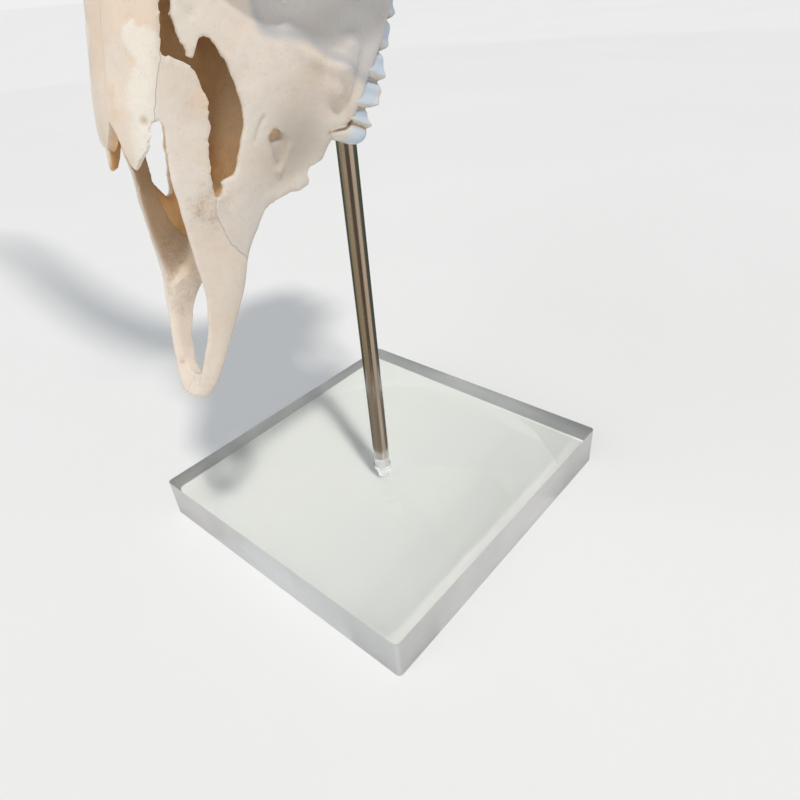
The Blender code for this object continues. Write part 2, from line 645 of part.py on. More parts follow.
def orbit_hollows():
    _, _, axis = orbit_frame()
    hollows = []
    for side in (1, -1):
        path = [tuple(np.array(ORBIT) + axis * reach) for reach, _ in ORBIT_HOLLOW]
        radii = [radius for _, radius in ORBIT_HOLLOW]
        hollows.append(tube("orbit hollow", flipped(path, side), radii, 28))
    return hollows


def openings():
    """Everything that is cut out of the melted skull."""
    above = [(61.0, 40.1), (55.0, 38.75), (50.2, 38.05), (44, 60), (-12, 60)]
    vacuity = PROCESS_REAR + VACUITY_UPPER + SPUR + VACUITY_FRONT
    cuts = [
        nasal_space(),
        front_slot(),
        bar_slope(LEFT_BLADE_TOP, 1),
        bar_slope(RIGHT_BLADE_TOP, -1),
        prism("aperture left", LEFT_BLADE_TOP + above, -0.1, 40),
        prism("aperture right", RIGHT_BLADE_TOP + above, -40, 0.1),
        prism("vacuity left", vacuity, 4, 40),
        prism("vacuity right", vacuity, -40, -4),
        prism("right corner", RIGHT_CORNER, -40, -4),
        palate_hollow(),
        throat(),
        tube("great hole", *GREAT_HOLE, 20),
    ]
    cuts += orbit_hollows()
    for side in (1, -1):
        slit = [(side * x, y) for x, y in PALATE_SLIT]
        cuts.append(prism("palate slit", slit, 2, 17, "z"))
        cuts.append(bar("face hole", FACE_HOLE, side))
        cuts.append(bar("margin notch", MARGIN_NOTCH, side))
        cuts.append(bar("ear hole", EAR_HOLE, side))
    return cuts


def sutures():
    """The thin cuts between the bones."""
    far = 90.0
    front_half = [(-12, -20), (NOSE_WALL_Y, -20)] + BROW_LINE + CROWN_LINE[1:] + [(-12, 112)]
    cuts = [
        ribbon("nasal edge", NASAL_EDGE, -far, far),
        ribbon("nose blade", NOSE_SUTURE, -far, far),
        ribbon("face to tear bone", FACE_TEAR_LINE, -far, far),
        ribbon("face to cheek bone", FACE_CHEEK_LINE, -far, far),
        ribbon("under the brow", BROW_LINE, -40, 40),
        ribbon("crown", CROWN_LINE, -50, 50),
        prism("middle", front_half, -GAP / 2, GAP / 2),
    ]
    for low, high, half, rear in ((-20, 12, THROAT_HALF, 140), (11.5, 53.7, NOSE_WALL_HALF, 142)):
        line = [(-half, rear), (-half, NOSE_WALL_Y), (half, NOSE_WALL_Y), (half, rear)]
        cuts += square_ribbon("nose wall", line, low, high)
    for low, high in ((12, far), (-far, -12)):
        cuts.append(ribbon("tear bone to brow", TEAR_BROW_LINE, low, high))
        cuts.append(ribbon("tear bone to cheek bone", TEAR_CHEEK_LINE, low, high))
    for low, high in ((34, far), (-far, -34)):
        cuts.append(ribbon("bar behind the eye", EYE_BAR_LINE, low, high))
        cuts.append(ribbon("arch", ARCH_LINE, low, high))
    return cuts


def nasal_leaf():
    """The thin leaf of bone under the tip of the right nasal bone."""
    return tube("leaf", *NASAL_LEAF, up=LEAF_UP)


def rod_in_skull():
    """The rod's line in the skull's frame, as a cutter with room round it."""
    along = np.array([0.0, math.sin(TILT), math.cos(TILT)])
    held = np.array([0.0, HELD_Y, HELD_Z])
    path = [held - along * 60, held, held + along * (ROD_TOP - HELD_HEIGHT + GAP)]
    return tube("rod room", path, [ROD_RADIUS + GAP] * 3, ROUND_SIDES)


def loose_parts(item):
    """The separate closed surfaces of a mesh, as lists of faces."""
    mesh = item.data
    count = len(mesh.vertices)
    edges = np.zeros(len(mesh.edges) * 2, np.int64)
    mesh.edges.foreach_get("vertices", edges)
    edges = edges.reshape(-1, 2)
    label = np.arange(count)
    while True:
        low = np.minimum(label[edges[:, 0]], label[edges[:, 1]])
        new = label.copy()
        np.minimum.at(new, edges[:, 0], low)
        np.minimum.at(new, edges[:, 1], low)
        new = new[new]
        if (new == label).all():
            return label
        label = new


def part_bones(skull, seeds):
    """Each bone as its own object: the loose part that lies nearest to the bone's seed point."""
    label = loose_parts(skull)
    points = np.zeros(len(skull.data.vertices) * 3)
    skull.data.vertices.foreach_get("co", points)
    points = points.reshape(-1, 3) / MM
    size = np.bincount(label, minlength=len(label))
    big = size[label] > 60
    bones = {}
    for name, seed in seeds.items():
        away = np.linalg.norm(points - np.array(seed), axis=1)
        away[~big] = 1e9
        wanted = label[int(np.argmin(away))]
        build = bmesh.new()
        build.from_mesh(skull.data)
        build.verts.ensure_lookup_table()
        bmesh.ops.delete(build, geom=[v for v in build.verts if label[v.index] != wanted], context="VERTS")
        mesh = bpy.data.meshes.new(name)
        build.to_mesh(mesh)
        build.free()
        bones[name] = bpy.data.objects.new(name, mesh)
        bpy.context.scene.collection.objects.link(bones[name])
    bpy.data.objects.remove(skull)
    return bones


def drop_flaps(mesh):
    """Takes off faces that stand out from the skin by one edge, and says whether the skin is closed."""
    build = bmesh.new()
    build.from_mesh(mesh)
    for _ in range(3):
        flaps = [face for face in build.faces if any(edge.is_boundary for edge in face.edges)]
        bmesh.ops.delete(build, geom=flaps, context="FACES")
    closed = all(edge.is_manifold for edge in build.edges) and all(v.is_manifold for v in build.verts)
    build.to_mesh(mesh)
    build.free()
    return closed


def thin_out(item, faces):
    """Fewer triangles: about as many as wanted, and still a closed surface."""
    whole = item.data
    now = sum(len(p.vertices) - 2 for p in whole.polygons)
    for share in np.linspace(1.0, 1.3, 13):
        item.data = whole
        step = item.modifiers.new("fewer", "DECIMATE")
        step.ratio = min(1.0, faces * share / now)
        apply_modifiers(item)
        if drop_flaps(item.data):
            return


def material(name, colour, roughness, metallic=0.0, alpha=1.0):
    made = bpy.data.materials.new(name)
    made.use_nodes = True
    shader = made.node_tree.nodes["Principled BSDF"]
    shader.inputs["Base Color"].default_value = (*colour, 1.0)
    shader.inputs["Roughness"].default_value = roughness
    shader.inputs["Metallic"].default_value = metallic
    shader.inputs["Alpha"].default_value = alpha
    return made


def turned(name, profile, sides=ROUND_SIDES):
    """A closed body turned about Z from (radius, height) points, bottom to top, on the rod's axis."""
    rings = []
    for radius, height in profile:
        turn = np.linspace(0, 2 * math.pi, sides, endpoint=False)
        rings.append([(ROD_X + radius * math.cos(t), ROD_Y + radius * math.sin(t), height) for t in turn])
    return loft(name, rings)


def block():
    """The clear block, with the stepped hole that the stud and the sleeve stand in."""
    item = new_object("base_block", [], [])
    build = bmesh.new()
    bmesh.ops.create_cube(build, size=1.0)
    bmesh.ops.scale(build, vec=Vector((BLOCK_X, BLOCK_Y, BLOCK_THICK)) * MM, verts=build.verts)
    bmesh.ops.translate(build, vec=(0, 0, BLOCK_THICK * MM / 2), verts=build.verts)
    build.to_mesh(item.data)
    build.free()
    edge = item.modifiers.new("edges", "BEVEL")
    edge.width = BLOCK_EDGE * MM
    edge.segments = 2
    apply_modifiers(item)
    wide = ROD_RADIUS + GAP
    slim = STUD_RADIUS + GAP
    step = SLEEVE_FOOT - GAP
    hole = turned("hole", [(slim, STUD_FOOT - GAP), (slim, step), (wide, step), (wide, BLOCK_THICK + 5)])
    boolean(item, [hole], "DIFFERENCE")
    return item


def rod():
    """The rod, with the thinner stud that screws into the block."""
    foot = SLEEVE_TOP + GAP
    stud = [(STUD_RADIUS, STUD_FOOT), (STUD_RADIUS, foot)]
    shaft = [(ROD_RADIUS, foot), (ROD_RADIUS, ROD_TOP - ROD_EDGE), (ROD_RADIUS - ROD_EDGE, ROD_TOP)]
    return turned("rod", stud + shaft)


def sleeve():
    """The white sleeve round the stud, at the rod's foot."""
    item = turned("rod_sleeve", [(ROD_RADIUS, SLEEVE_FOOT), (ROD_RADIUS, SLEEVE_TOP)])
    bore = turned("bore", [(STUD_RADIUS + GAP, SLEEVE_FOOT - 5), (STUD_RADIUS + GAP, SLEEVE_TOP + 5)])
    boolean(item, [bore], "DIFFERENCE")
    return item


def skull_pose():
    """The empty that carries the skull's frame into the pose on the rod."""
    pose = bpy.data.objects.new("skull_pose", None)
    bpy.context.scene.collection.objects.link(pose)
    cosine, sine = math.cos(TILT), math.sin(TILT)
    turn = Matrix(((0, cosine, -sine), (-1, 0, 0), (0, sine, cosine)))
    place = Vector((ROD_X, ROD_Y, HELD_HEIGHT)) - turn @ Vector((0, HELD_Y, HELD_Z))
    pose.matrix_world = Matrix.Translation(place * MM) @ turn.to_4x4()
    return pose


SEEDS = {
    "braincase": (0, 230, 60),
    "frontal_left": (30, 158, 70),
    "lacrimal_left": (36, 120, 42),
    "zygomatic_left": (49.5, 150, 21),
    "maxilla_left": (24, 85, 12),
    "nasal_left": (6, 80, 48),
    "premaxilla_left": (11, 25, 14),
}


def all_seeds():
    seeds = {}
    for name, place in SEEDS.items():
        seeds[name] = place
        if name.endswith("_left"):
            seeds[name.replace("_left", "_right")] = (-place[0], place[1], place[2])
    return seeds


def main():
    clear_scene()
    bone = material("bone", (0.79, 0.70, 0.59), 0.55)
    keratin = material("horn", (0.09, 0.075, 0.06), 0.5)
    steel = material("steel", (0.62, 0.6, 0.57), 0.28, 1.0)
    clear = material("acrylic", (0.9, 0.92, 0.92), 0.08, 0.0, 0.35)
    white = material("sleeve", (0.86, 0.85, 0.82), 0.5)

    outer = [snout(), frontal_roof()] + orbit_rims() + cheeks() + cranium()
    outer += [horn_core(side) for side in (1, -1)]
    skull = melted("skull", outer)
    boolean(skull, openings(), "DIFFERENCE")
    thin_out(skull, SKULL_FACES)
    boolean(skull, sutures() + [rod_in_skull()], "DIFFERENCE")
    bones = part_bones(skull, all_seeds())
    for name, side in (("maxilla_left", 1), ("maxilla_right", -1)):
        boolean(bones[name], teeth(side), "UNION")
    for name, outline in (("nasal_left", LEFT_NASAL_TIP), ("nasal_right", RIGHT_NASAL_TIP)):
        boolean(bones[name], [prism("tip", outline, 30, 60, "z")], "DIFFERENCE")
    boolean(bones["nasal_right"], [nasal_leaf()], "UNION")
    horns = [horn_sheath("horn_left", 1), horn_sheath("horn_right", -1)]

    pose = skull_pose()
    for item in list(bones.values()) + horns:
        item.parent = pose
        item.data.materials.clear()
        item.data.materials.append(keratin if item in horns else bone)
    for item, finish in ((block(), clear), (rod(), steel), (sleeve(), white)):
        item.data.materials.clear()
        item.data.materials.append(finish)
    for item in bpy.data.objects:
        if item.type == "MESH":
            item.data.shade_smooth()
            item.data.set_sharp_from_angle(angle=math.radians(40))
    bpy.context.view_layer.update()


main()
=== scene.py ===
"""The mounted impala skull, dressed: fine bones, teeth and horns in their materials.

Lengths are millimetres. The skull is drawn in its own frame, as in the part: x to its left, y backwards
from the tip of the nose, z up from the edge of the tooth row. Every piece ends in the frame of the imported
solids, in metres.
"""

import math

import bmesh
import bpy
import numpy as np
from mathutils import Matrix, Vector


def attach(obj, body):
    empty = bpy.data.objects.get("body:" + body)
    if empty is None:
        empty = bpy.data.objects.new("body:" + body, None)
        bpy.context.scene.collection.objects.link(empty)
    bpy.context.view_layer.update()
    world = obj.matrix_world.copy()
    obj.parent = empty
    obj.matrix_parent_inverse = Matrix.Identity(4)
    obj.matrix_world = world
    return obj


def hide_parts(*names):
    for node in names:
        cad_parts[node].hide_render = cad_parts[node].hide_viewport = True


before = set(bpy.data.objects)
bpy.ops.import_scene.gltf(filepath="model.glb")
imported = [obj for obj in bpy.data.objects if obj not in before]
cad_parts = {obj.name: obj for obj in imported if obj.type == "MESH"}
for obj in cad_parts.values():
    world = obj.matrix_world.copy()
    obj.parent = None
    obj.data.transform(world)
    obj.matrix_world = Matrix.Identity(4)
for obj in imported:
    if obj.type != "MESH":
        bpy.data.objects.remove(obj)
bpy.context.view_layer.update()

MM = 0.001
GAP = 0.3
SUTURE = 0.09
ACRYLIC_IOR = 1.49
SIDES = (1, -1)

# Block and rod
BLOCK_X = 127.0
BLOCK_Y = 121.0
BLOCK_THICK = 16.3
BLOCK_CORNER = 1.6
BLOCK_EDGE = 0.35
ROD_X = -4.4
ROD_Y = -2.6
ROD_RADIUS = 3.0
ROD_TOP = 252.0
STUD_RADIUS = 1.8
STUD_FOOT = 6.0
SLEEVE_FOOT = 13.3
SLEEVE_TOP = 20.0
SLEEVE_SOFT = 0.25
THREAD_TURNS = 12
THREAD_PITCH = 1.1
THREAD_DEPTH = 0.25
ROUND_SIDES = 96

# Pose: this point of the skull lies on the rod's axis at this height
TILT = math.radians(59.5)
HELD_Y = 131.7
HELD_Z = 8.0
HELD_HEIGHT = 201.6

# Snout, from the tip of the nose to the eye sockets: places along y, and the size there
EDGE_Z = [(-0.5, 6.6), (5, 7), (20, 8.4), (31, 8.9), (43, 10.2), (50, 8.9), (56, 6.0), (61, 2), (67, 0.4),
          (72, 0), (132, 0)]
EDGE_HALF = [(-0.5, 4.0), (3, 6.4), (15, 10), (31, 12.2), (45, 13.6), (52, 14.8), (60, 17.8), (71, 22),
             (80, 24.5), (93, 26.5), (110, 27.5), (132, 26)]
SHOULDER_Z = [(-0.5, 9.4), (20, 14.8), (30, 19.8), (41, 27.5), (50, 33.5), (60, 38.2), (71, 41.4), (81, 44),
              (95, 47.5), (110, 51.5), (132, 56)]
SHOULDER_HALF = [(-0.5, 3.4), (3, 5.2), (8, 7), (19, 10), (30, 11.4), (41, 11.2), (50, 11.6), (60, 12.2),
                 (72, 12.8), (81, 13.4), (100, 15), (115, 17), (132, 24)]
ROOF_Z = [(-0.5, 11), (30, 25), (44, 35), (51, 39.5), (58, 43), (70, 46.5), (80, 49.2), (100, 55),
          (120, 61), (145, 68), (165, 76), (178, 80), (192, 80.5)]
WALL = 2.4
FACE_WALL = 1.3
WALL_BULGE = 1.0
CANAL = ((66.0, 15.0), (7.0, 4.5))
CANAL_WALL = 2.4
PALATE_Z = 6.5
PALATE_START = 56
FLOOR_THICK = 3.0

# The hollow under the palate: along y, its room inside the edge, and the room that the teeth add
VAULT_FROM = 36
VAULT_TO = 121
VAULT_START = 60
EDGE_ROOM = 4.0
TEETH_ROOM = 8.0
TEETH_FROM = 66
TEETH_GROW = 10
SNOUT_STEP = 1.0
SNOUT_START = -0.5
SNOUT_END = 132.0
SLOT_HALF = [(5.5, 0.5), (8, 3.2), (12, 5.6), (19, 7.4), (23.6, 7.6), (28.3, 6.0), (31, 3.8), (33.2, 0.6)]
SLOT_BACK = 33.0
SLOT_RAMP = 11.0
SLOT_BELOW = 12
SLOT_ABOVE = 14
BAR_SLOPE = 1.3
BAR_SLOPE_FROM = 3
BAR_SLOPE_TO = 58
NOSE_WALL_Y = 126.0
NOSE_WALL_HALF = 20.0
THROAT_HALF = 13.5
BELOW = -12.0

# Openings seen from the side, as outlines in y and z
LEFT_BLADE_TOP = [(-12, 10.4), (2.5, 10.6), (10, 12.6), (18.7, 15), (27.5, 18.8), (35, 23.7), (41.3, 27.5),
                  (47, 31.2), (50.6, 33.6), (56, 36.2), (60.4, 38.1)]
RIGHT_BLADE_TOP = [(-12, 10.4), (2.5, 10.6), (10, 12.4), (18.7, 14.6), (27.3, 17), (34.2, 21), (40.1, 24.7),
                   (45, 27.4), (51.3, 30.4), (56, 33.8), (60.4, 38.1)]
NASAL_EDGE = [(50.2, 38.0), (55, 38.7), (59.8, 39.6), (62.5, 40.6), (66, 41.3), (70.2, 42.0), (73.3, 42.1),
              (76.6, 42.9), (81, 44.1), (92, 46.6), (104, 50.2), (114, 56), (124, 66)]
PROCESS_REAR = [(49.2, 23.4), (50.6, 24.4), (53.6, 26.0), (58.4, 28.1), (61.5, 29.0), (64.0, 29.5),
                (64.6, 30.1), (66.1, 30.4), (67.9, 31.1), (68.7, 32.2), (69.9, 33.0), (71.2, 34.1),
                (72.4, 35.8), (72.8, 37.6), (72.9, 39.0), (72.7, 40.6), (72.0, 42.1)]
VACUITY_UPPER = [(73.3, 42.15), (76.6, 42.95), (81, 44.15), (92, 46.65), (93, 45.4), (83, 42.9)]
SPUR = [(82, 42.6), (79.9, 42.0), (78.5, 41.1), (77.2, 39.9), (75.9, 38.9), (75.4, 37.9), (74.4, 37.3),
        (73.9, 36.6), (74.3, 36.3), (75.6, 36.1), (77.4, 36.3), (78.3, 36.0), (78.9, 35.0)]
VACUITY_FRONT = [(78.5, 33.7), (77.2, 31.6), (74.8, 29.0), (71.8, 26.2), (69.4, 24.4), (65.8, 22.7),
                 (61.5, 21.9), (57.5, 21.4), (55.6, 21.6), (54.3, 23.2), (53.6, 23.7), (52.8, 22.7),
                 (51.0, 22.6)]
MARGIN = [(45, 10.1), (48.5, 10.7), (51.2, 10.3), (53.6, 9.1), (55.1, 7.4), (56.3, 6.6), (58.3, 3.6),
          (59.6, 2.2), (60.4, 2.5), (61.6, 4.1), (62.9, 4.0), (64.4, 3.2), (65.5, 2.1), (66.4, 1.1),
          (67.4, 0.8), (69.4, 0.4)]
RIGHT_CORNER = [(58.6, 23.5), (58.4, 20.8), (53, 19.9), (48.4, 18.6), (47.6, 19.8), (50, 24.6), (56, 26.6)]
APERTURE_ABOVE = [(61.0, 40.1), (55.0, 38.75), (50.2, 38.0), (44, 60), (-12, 60)]

# How far out the cutters of the openings reach, and the zigzag of their edges
SIDE_REACH = 40.0
VACUITY_FROM = 4.0
MARGIN_REACH = (9, 34)
OPENING_JAG = 0.22
MARGIN_JAG = 0.15

# Outlines in x and y: the nasal bones' front ends, and a slit in the palate
LEFT_NASAL_TIP = [(-1, 30), (-1, 58.6), (0, 58.6), (0.8, 57.9), (2.4, 55.8), (3.3, 53.4), (3.9, 51.9),
                  (5.2, 50.3), (7.3, 52.6), (9.3, 54.8), (10.9, 57.4), (11.6, 60.2), (30, 61), (30, 30)]
RIGHT_NASAL_TIP = [(1, 30), (1, 58.6), (0, 58.6), (-0.8, 56.8), (-2.4, 55), (-4.8, 53.2), (-7.5, 54),
                   (-9.6, 55.8), (-11.2, 58), (-12, 60.2), (-30, 61), (-30, 30)]
NASAL_TIP_JAG = 0.2
PALATE_SLIT = [(3.2, 36), (3.4, 46), (4.4, 51.5), (6.8, 51), (8.2, 46), (7.6, 39), (5.8, 35)]
PALATE_SLIT_REACH = (2, 17)

# Lines between the bones, in y and z
NOSE_SUTURE = [(37.4, 0), (37.6, 8), (38.6, 11.2), (39.5, 13.2), (40.8, 16.9), (44.4, 21.2), (46.4, 23),
               (52, 24.2)]
FACE_TEAR_LINE = [(103.5, 50.6), (106, 44), (110, 37), (113, 29.8)]
FACE_CHEEK_LINE = [(112.8, 30.2), (114, 24), (117, 17), (123, 12.6), (136, 11)]
TEAR_CHEEK_LINE = [(112.6, 30.2), (122, 28), (141, 29)]
EYE_BAR_LINE = [(156, 36), (178, 39)]
ARCH_LINE = [(163, 14), (171, 42)]
TEAR_BROW_LINE = [(103, 50.4), (114, 51.5), (124, 52.5), (131, 53.5), (141, 48)]
BROW_LINE = [(126, 49.8), (140, 49), (156, 52), (173, 57)]
CROWN_LINE = [(173, 57), (184, 61), (192, 68), (199, 76), (206, 85), (232, 112)]

# Seams that run right across: the line, its zigzag and the seed of the zigzag
FACE_SEAMS = [
    ("nasal edge", NASAL_EDGE, 0.25, 13),
    ("nose blade", NOSE_SUTURE, 0.35, 14),
    ("face to tear bone", FACE_TEAR_LINE, 0.4, 15),
    ("face to cheek bone", FACE_CHEEK_LINE, 0.4, 16),
]

# Seams of the two sides, in pairs that begin at the same x
SIDE_SEAMS = [
    (12, ("tear bone to brow", TEAR_BROW_LINE, 17), ("tear bone to cheek bone", TEAR_CHEEK_LINE, 18)),
    (34, ("bar behind the eye", EYE_BAR_LINE, 19), ("arch", ARCH_LINE, 20)),
]
SIDE_SEAM_JAG = 0.4
SEAM_REACH = 90.0
BROW_REACH = 40.0
CROWN_REACH = 50.0

# Walls between nose and brain case: from and to a height, half of the width, and how far back
NOSE_WALLS = [(-20, 12, THROAT_HALF, 140), (11.5, 53.7, NOSE_WALL_HALF, 142)]

# Where seams meet inside the skull, in y and z: at the end of the brow, at the walls' top and at their step
BROW_END = [(172.7, 56.7), (173.5, 56.7), (173.5, 57.4), (172.7, 57.4)]
WALL_TOP = [(125.8, 51.6), (132, 52.6), (132, 54.4), (125.8, 53.6)]
WALL_STEP = [(125.8, 11.4), (142.2, 11.4), (142.2, 12.1), (125.8, 12.1)]
MEET = 0.2

# Frontal roof, half width and edge height
FRONTAL_HALF = [(112, 15), (122, 27), (132, 39), (142, 47), (152, 50.5), (162, 50.5), (170, 45), (180, 34),
                (192, 27)]
FRONTAL_EDGE_Z = [(112, 50), (122, 53), (132, 55.5), (142, 59), (152, 62), (162, 63), (170, 63), (180, 64),
                  (192, 66)]
FRONTAL_STEP = 2.0
FRONTAL_RISE = 3.0
FRONTAL_ROUND = 0.8
FRONTAL_EDGE_THICK = 4.0
FRONTAL_SAG = 9.0

# Eye sockets
ORBIT = (45.5, 148.0, 42.5)
ORBIT_AXIS = (0.90, -0.36, 0.25)
ORBIT_RADIUS = 20.5
RIM_RADIUS = 2.7
RIM_WIDE = 1.25
RIM_TALL = 1.1
RIM_STEPS = 72
RIM_SIDES = 14
ORBIT_HOLLOW = [(12, 21.5), (1, 18.5), (-6, 18.1), (-18, 14), (-30, 5)]

# Bars and lumps of the left side and the middle: a bar is a path and its radii, a lump a centre and radii
CHEEK = ([(19, 92, 26), (27, 104, 27), (36, 115, 28), (41.5, 127, 30)],
         [(5, 14), (6, 16), (6.5, 17), (6, 16)])
ARCH = ([(26, 104, 12), (33, 115, 13), (40, 127, 16), (46, 139, 19), (49.5, 152, 21.5), (50, 164, 25),
         (47.5, 175, 29), (42, 184, 33), (34, 192, 36), (27, 198, 38)],
        [(5, 5), (5, 6), (4.2, 7), (3.6, 7), (3.2, 6.4), (3, 5.6), (3, 5.6), (3.6, 6), (5, 6), (5, 7)])
TEAR_BONE = ([(14, 94, 40), (20, 106, 41), (28, 117, 43), (37, 127, 45)],
             [(4, 8), (6, 13), (7, 15), (6, 13)])
EDGE_SPUR = ([(15.0, 53.0, 9.6), (15.9, 56.4, 6.8), (17.0, 60.0, 3.2), (18.4, 63.4, 1.6)],
             [(1.2, 1.4), (1.3, 2.4), (1.4, 3.0), (1.2, 2.4)])
TOOTH_RIM = ([(20.8, 72.5, 0.7), (22.5, 77, -0.1), (23.7, 82, -0.2), (24.7, 89, -0.2), (25.5, 96, -0.2),
              (26.0, 104, -0.1), (26.1, 112, 0.1), (25.6, 122, 0.4), (24.7, 130, 0.9)],
             [(1.2, 1.5)] + [(1.5, 2.1)] * 7 + [(1.2, 1.5)])
FACE_BUMP = ((24, 86, 6), (3.2, 8, 3.4))
BRAIN_CASE = ((0, 196, 53), (32.5, 39, 27))
BRAIN_REAR = ((0, 222, 50), (31, 17, 23))
CORE = ([(0, 121, 38), (0, 135, 38), (0, 150, 40), (0, 168, 46)],
        [(20, 24), (17, 21), (17, 20), (22, 22)])
SKULL_FLOOR = ([(0, 150, 21), (0, 170, 24), (0, 200, 26), (0, 232, 28)],
               [(7, 6), (9, 6), (12, 7), (14, 9)])
NAPE_CREST = ([(-27, 222, 52), (-16, 231, 63), (0, 234, 67), (16, 231, 63), (27, 222, 52)],
              [3, 3.4, 4, 3.4, 3])
CONDYLE = ((11.5, 238, 31), (8, 8, 11))
CONDYLE_LEAN = -0.4
EAR_BULLA = ((17, 205, 22), (6.5, 11, 9))
EAR_MOUND = ((29, 208, 37), (7, 9, 9))
NAPE_SPIKE = ([(22, 226, 34), (23, 227, 22), (22, 226, 11)], [(4, 6), (3, 5), (1.6, 3)])
THROAT_WING = ([(9.5, 127, 14), (9.5, 140, 17), (10, 152, 19), (11, 165, 23)],
               [(2, 10), (1.9, 11), (1.9, 10), (3, 6)])
WING_HOOK = ([(10, 150, 20), (10.5, 155, 12), (11, 158, 5)], [(1.8, 5), (1.7, 4), (1.4, 2)])
NASAL_LEAF = ([(-8, 62, 38), (-7.4, 57, 37.9), (-6.8, 53, 37.7), (-6.2, 50.8, 37.6), (-5.8, 49.6, 37.8)],
              [(0.9, 2.6), (0.9, 3.8), (0.9, 3.6), (0.8, 2.2), (0.4, 0.6)])
LEAF_UP = (0.68, 0, 0.73)

# Holes: a path and its radii
FACE_HOLE = ([(18.4, 65.2, 14.3), (17.5, 66.6, 15.0), (16.4, 68.0, 15.6)], [1.4, 1.75, 1.2])
FACE_SCOOP = ([(17.3, 60.4, 11.8), (18.35, 62.0, 12.5), (19.6, 64.0, 13.5), (20.2, 65.8, 14.4),
               (19.6, 67.2, 15.1)], [0.6, 1.65, 2.8, 3.0, 1.8])
EAR_HOLE = ([(40, 210, 37), (26, 207, 38)], [3.0, 2.2])
GREAT_HOLE = ([(0, 212, 40), (0, 226, 39), (0, 236, 38), (0, 252, 38)],
              [(3, 3), (8, 7), (9.5, 8.5), (11, 10)])
THROAT_TOPS = [(112, 13), (128, 21), (146, 19)]
THROAT_OPEN_HALF = 8.0
THROAT_ARCH = 6.0

# Horns: length along the curve, and the angles that it leans back and out, by share of the length
HORN_ROOT = (21.0, 174.0, 76.0)
HORN_LENGTH = 490.0
HORN_START = 17.0
CORE_LENGTH = 120.0
CORE_SLIM = 0.42
HORN_RADIUS = 19.5
HORN_WALL = 2.3
CORE_ROOM = 0.9
HORN_OVAL = 0.88
CORE_OVAL = 0.86
HORN_RISE = [(0, 58), (0.12, 50), (0.3, 36), (0.5, 36), (0.7, 50), (0.85, 62), (1, 70)]
HORN_SPLAY = [(0, 14), (0.12, 24), (0.3, 40), (0.5, 30), (0.7, 6), (0.85, -4), (1, -10)]
HORN_TAPER = [(0, 1), (0.08, 0.94), (0.3, 0.8), (0.5, 0.66), (0.7, 0.48), (0.85, 0.3), (0.95, 0.15),
              (1, 0.05)]
RING_COUNT = 20
RING_SHARE = 0.72
RING_HEIGHT = 0.06
RING_WIDTH = 0.2
RING_DRIFT = 0.16
RINGS_FADE = (0.62, 0.76)
GRAIN = (9, 9, 25)
HORN_FINE = 400
HORN_STEPS = 620
HORN_SIDES = 72
HORN_MOUTH = 0.86
HORN_HOLLOW = 8

# Cheek teeth: the front of each lobe along y, and the width of its crown across
TOOTH_FRONTS = [70.8, 76.7, 81.2, 87.6, 93.8, 101.2, 107.6, 114.2, 120.6, 126.6]
TOOTH_WIDTHS = [6.0, 8.0, 9.5, 11.0, 11.0, 11.5, 11.5, 11.5, 11.0, 6.5]
TOOTH_END = 131.0

# The same lobes: where along them the cusp stands, how low it reaches, how far out, and how far the crown
# leans to the front
TOOTH_PEAKS = [0.4, 0.08, 0.55, 0.22, 0.45, 0.25, 0.45, 0.25, 0.45, 0.4]
TOOTH_TIPS = [-6.2, -7.8, -7.8, -6.9, -6.5, -6.2, -6.0, -6.0, -6.0, -5.6]
TOOTH_REACH = [22.9, 24.6, 25.6, 25.7, 24.7, 24.1, 23.9, 23.9, 23.8, 23.4]
TOOTH_LEANS = [1.5, 0.4, 2.2, 1.0, 0.7, 0.2, 0.2, 0.2, 0.2, 0.2]
CUSP_SLOPE = 4.6
TOOTH_GAP = 0.2

# Heights of a lobe's rings: in the root and neck, and above its tip
ROOT_LEVELS = (5.0, 2.5, 0.8, -0.6, -2.0, -3.4)
TIP_STEPS = (2.2, 1.4, 0.8, 0.35, 0.08, 0.0)

# Waves of a lobe's cheek side: how high, and where and how wide by share of the lobe's length
LOBE_RIB = (0.6, 0.2, 0.14)
LOBE_WAIST = (0.3, 0.5, 0.15)
LOBE_REAR = (0.2, 0.74, 0.12)

# The first tooth's rings: height, middle in x and y, half of the width and of the length
FIRST_TOOTH = [(5, 19.8, 73.4, 1.6, 2.2), (1.5, 20.1, 73.6, 2.5, 2.6), (-0.6, 20.4, 74.0, 2.8, 2.8),
               (-2.4, 20.7, 74.3, 2.9, 2.8), (-4.4, 21.0, 74.5, 3.0, 2.8), (-6.0, 21.2, 74.8, 2.8, 2.6),
               (-7.1, 21.4, 75.1, 2.2, 2.0), (-7.7, 21.5, 75.3, 1.2, 1.1)]

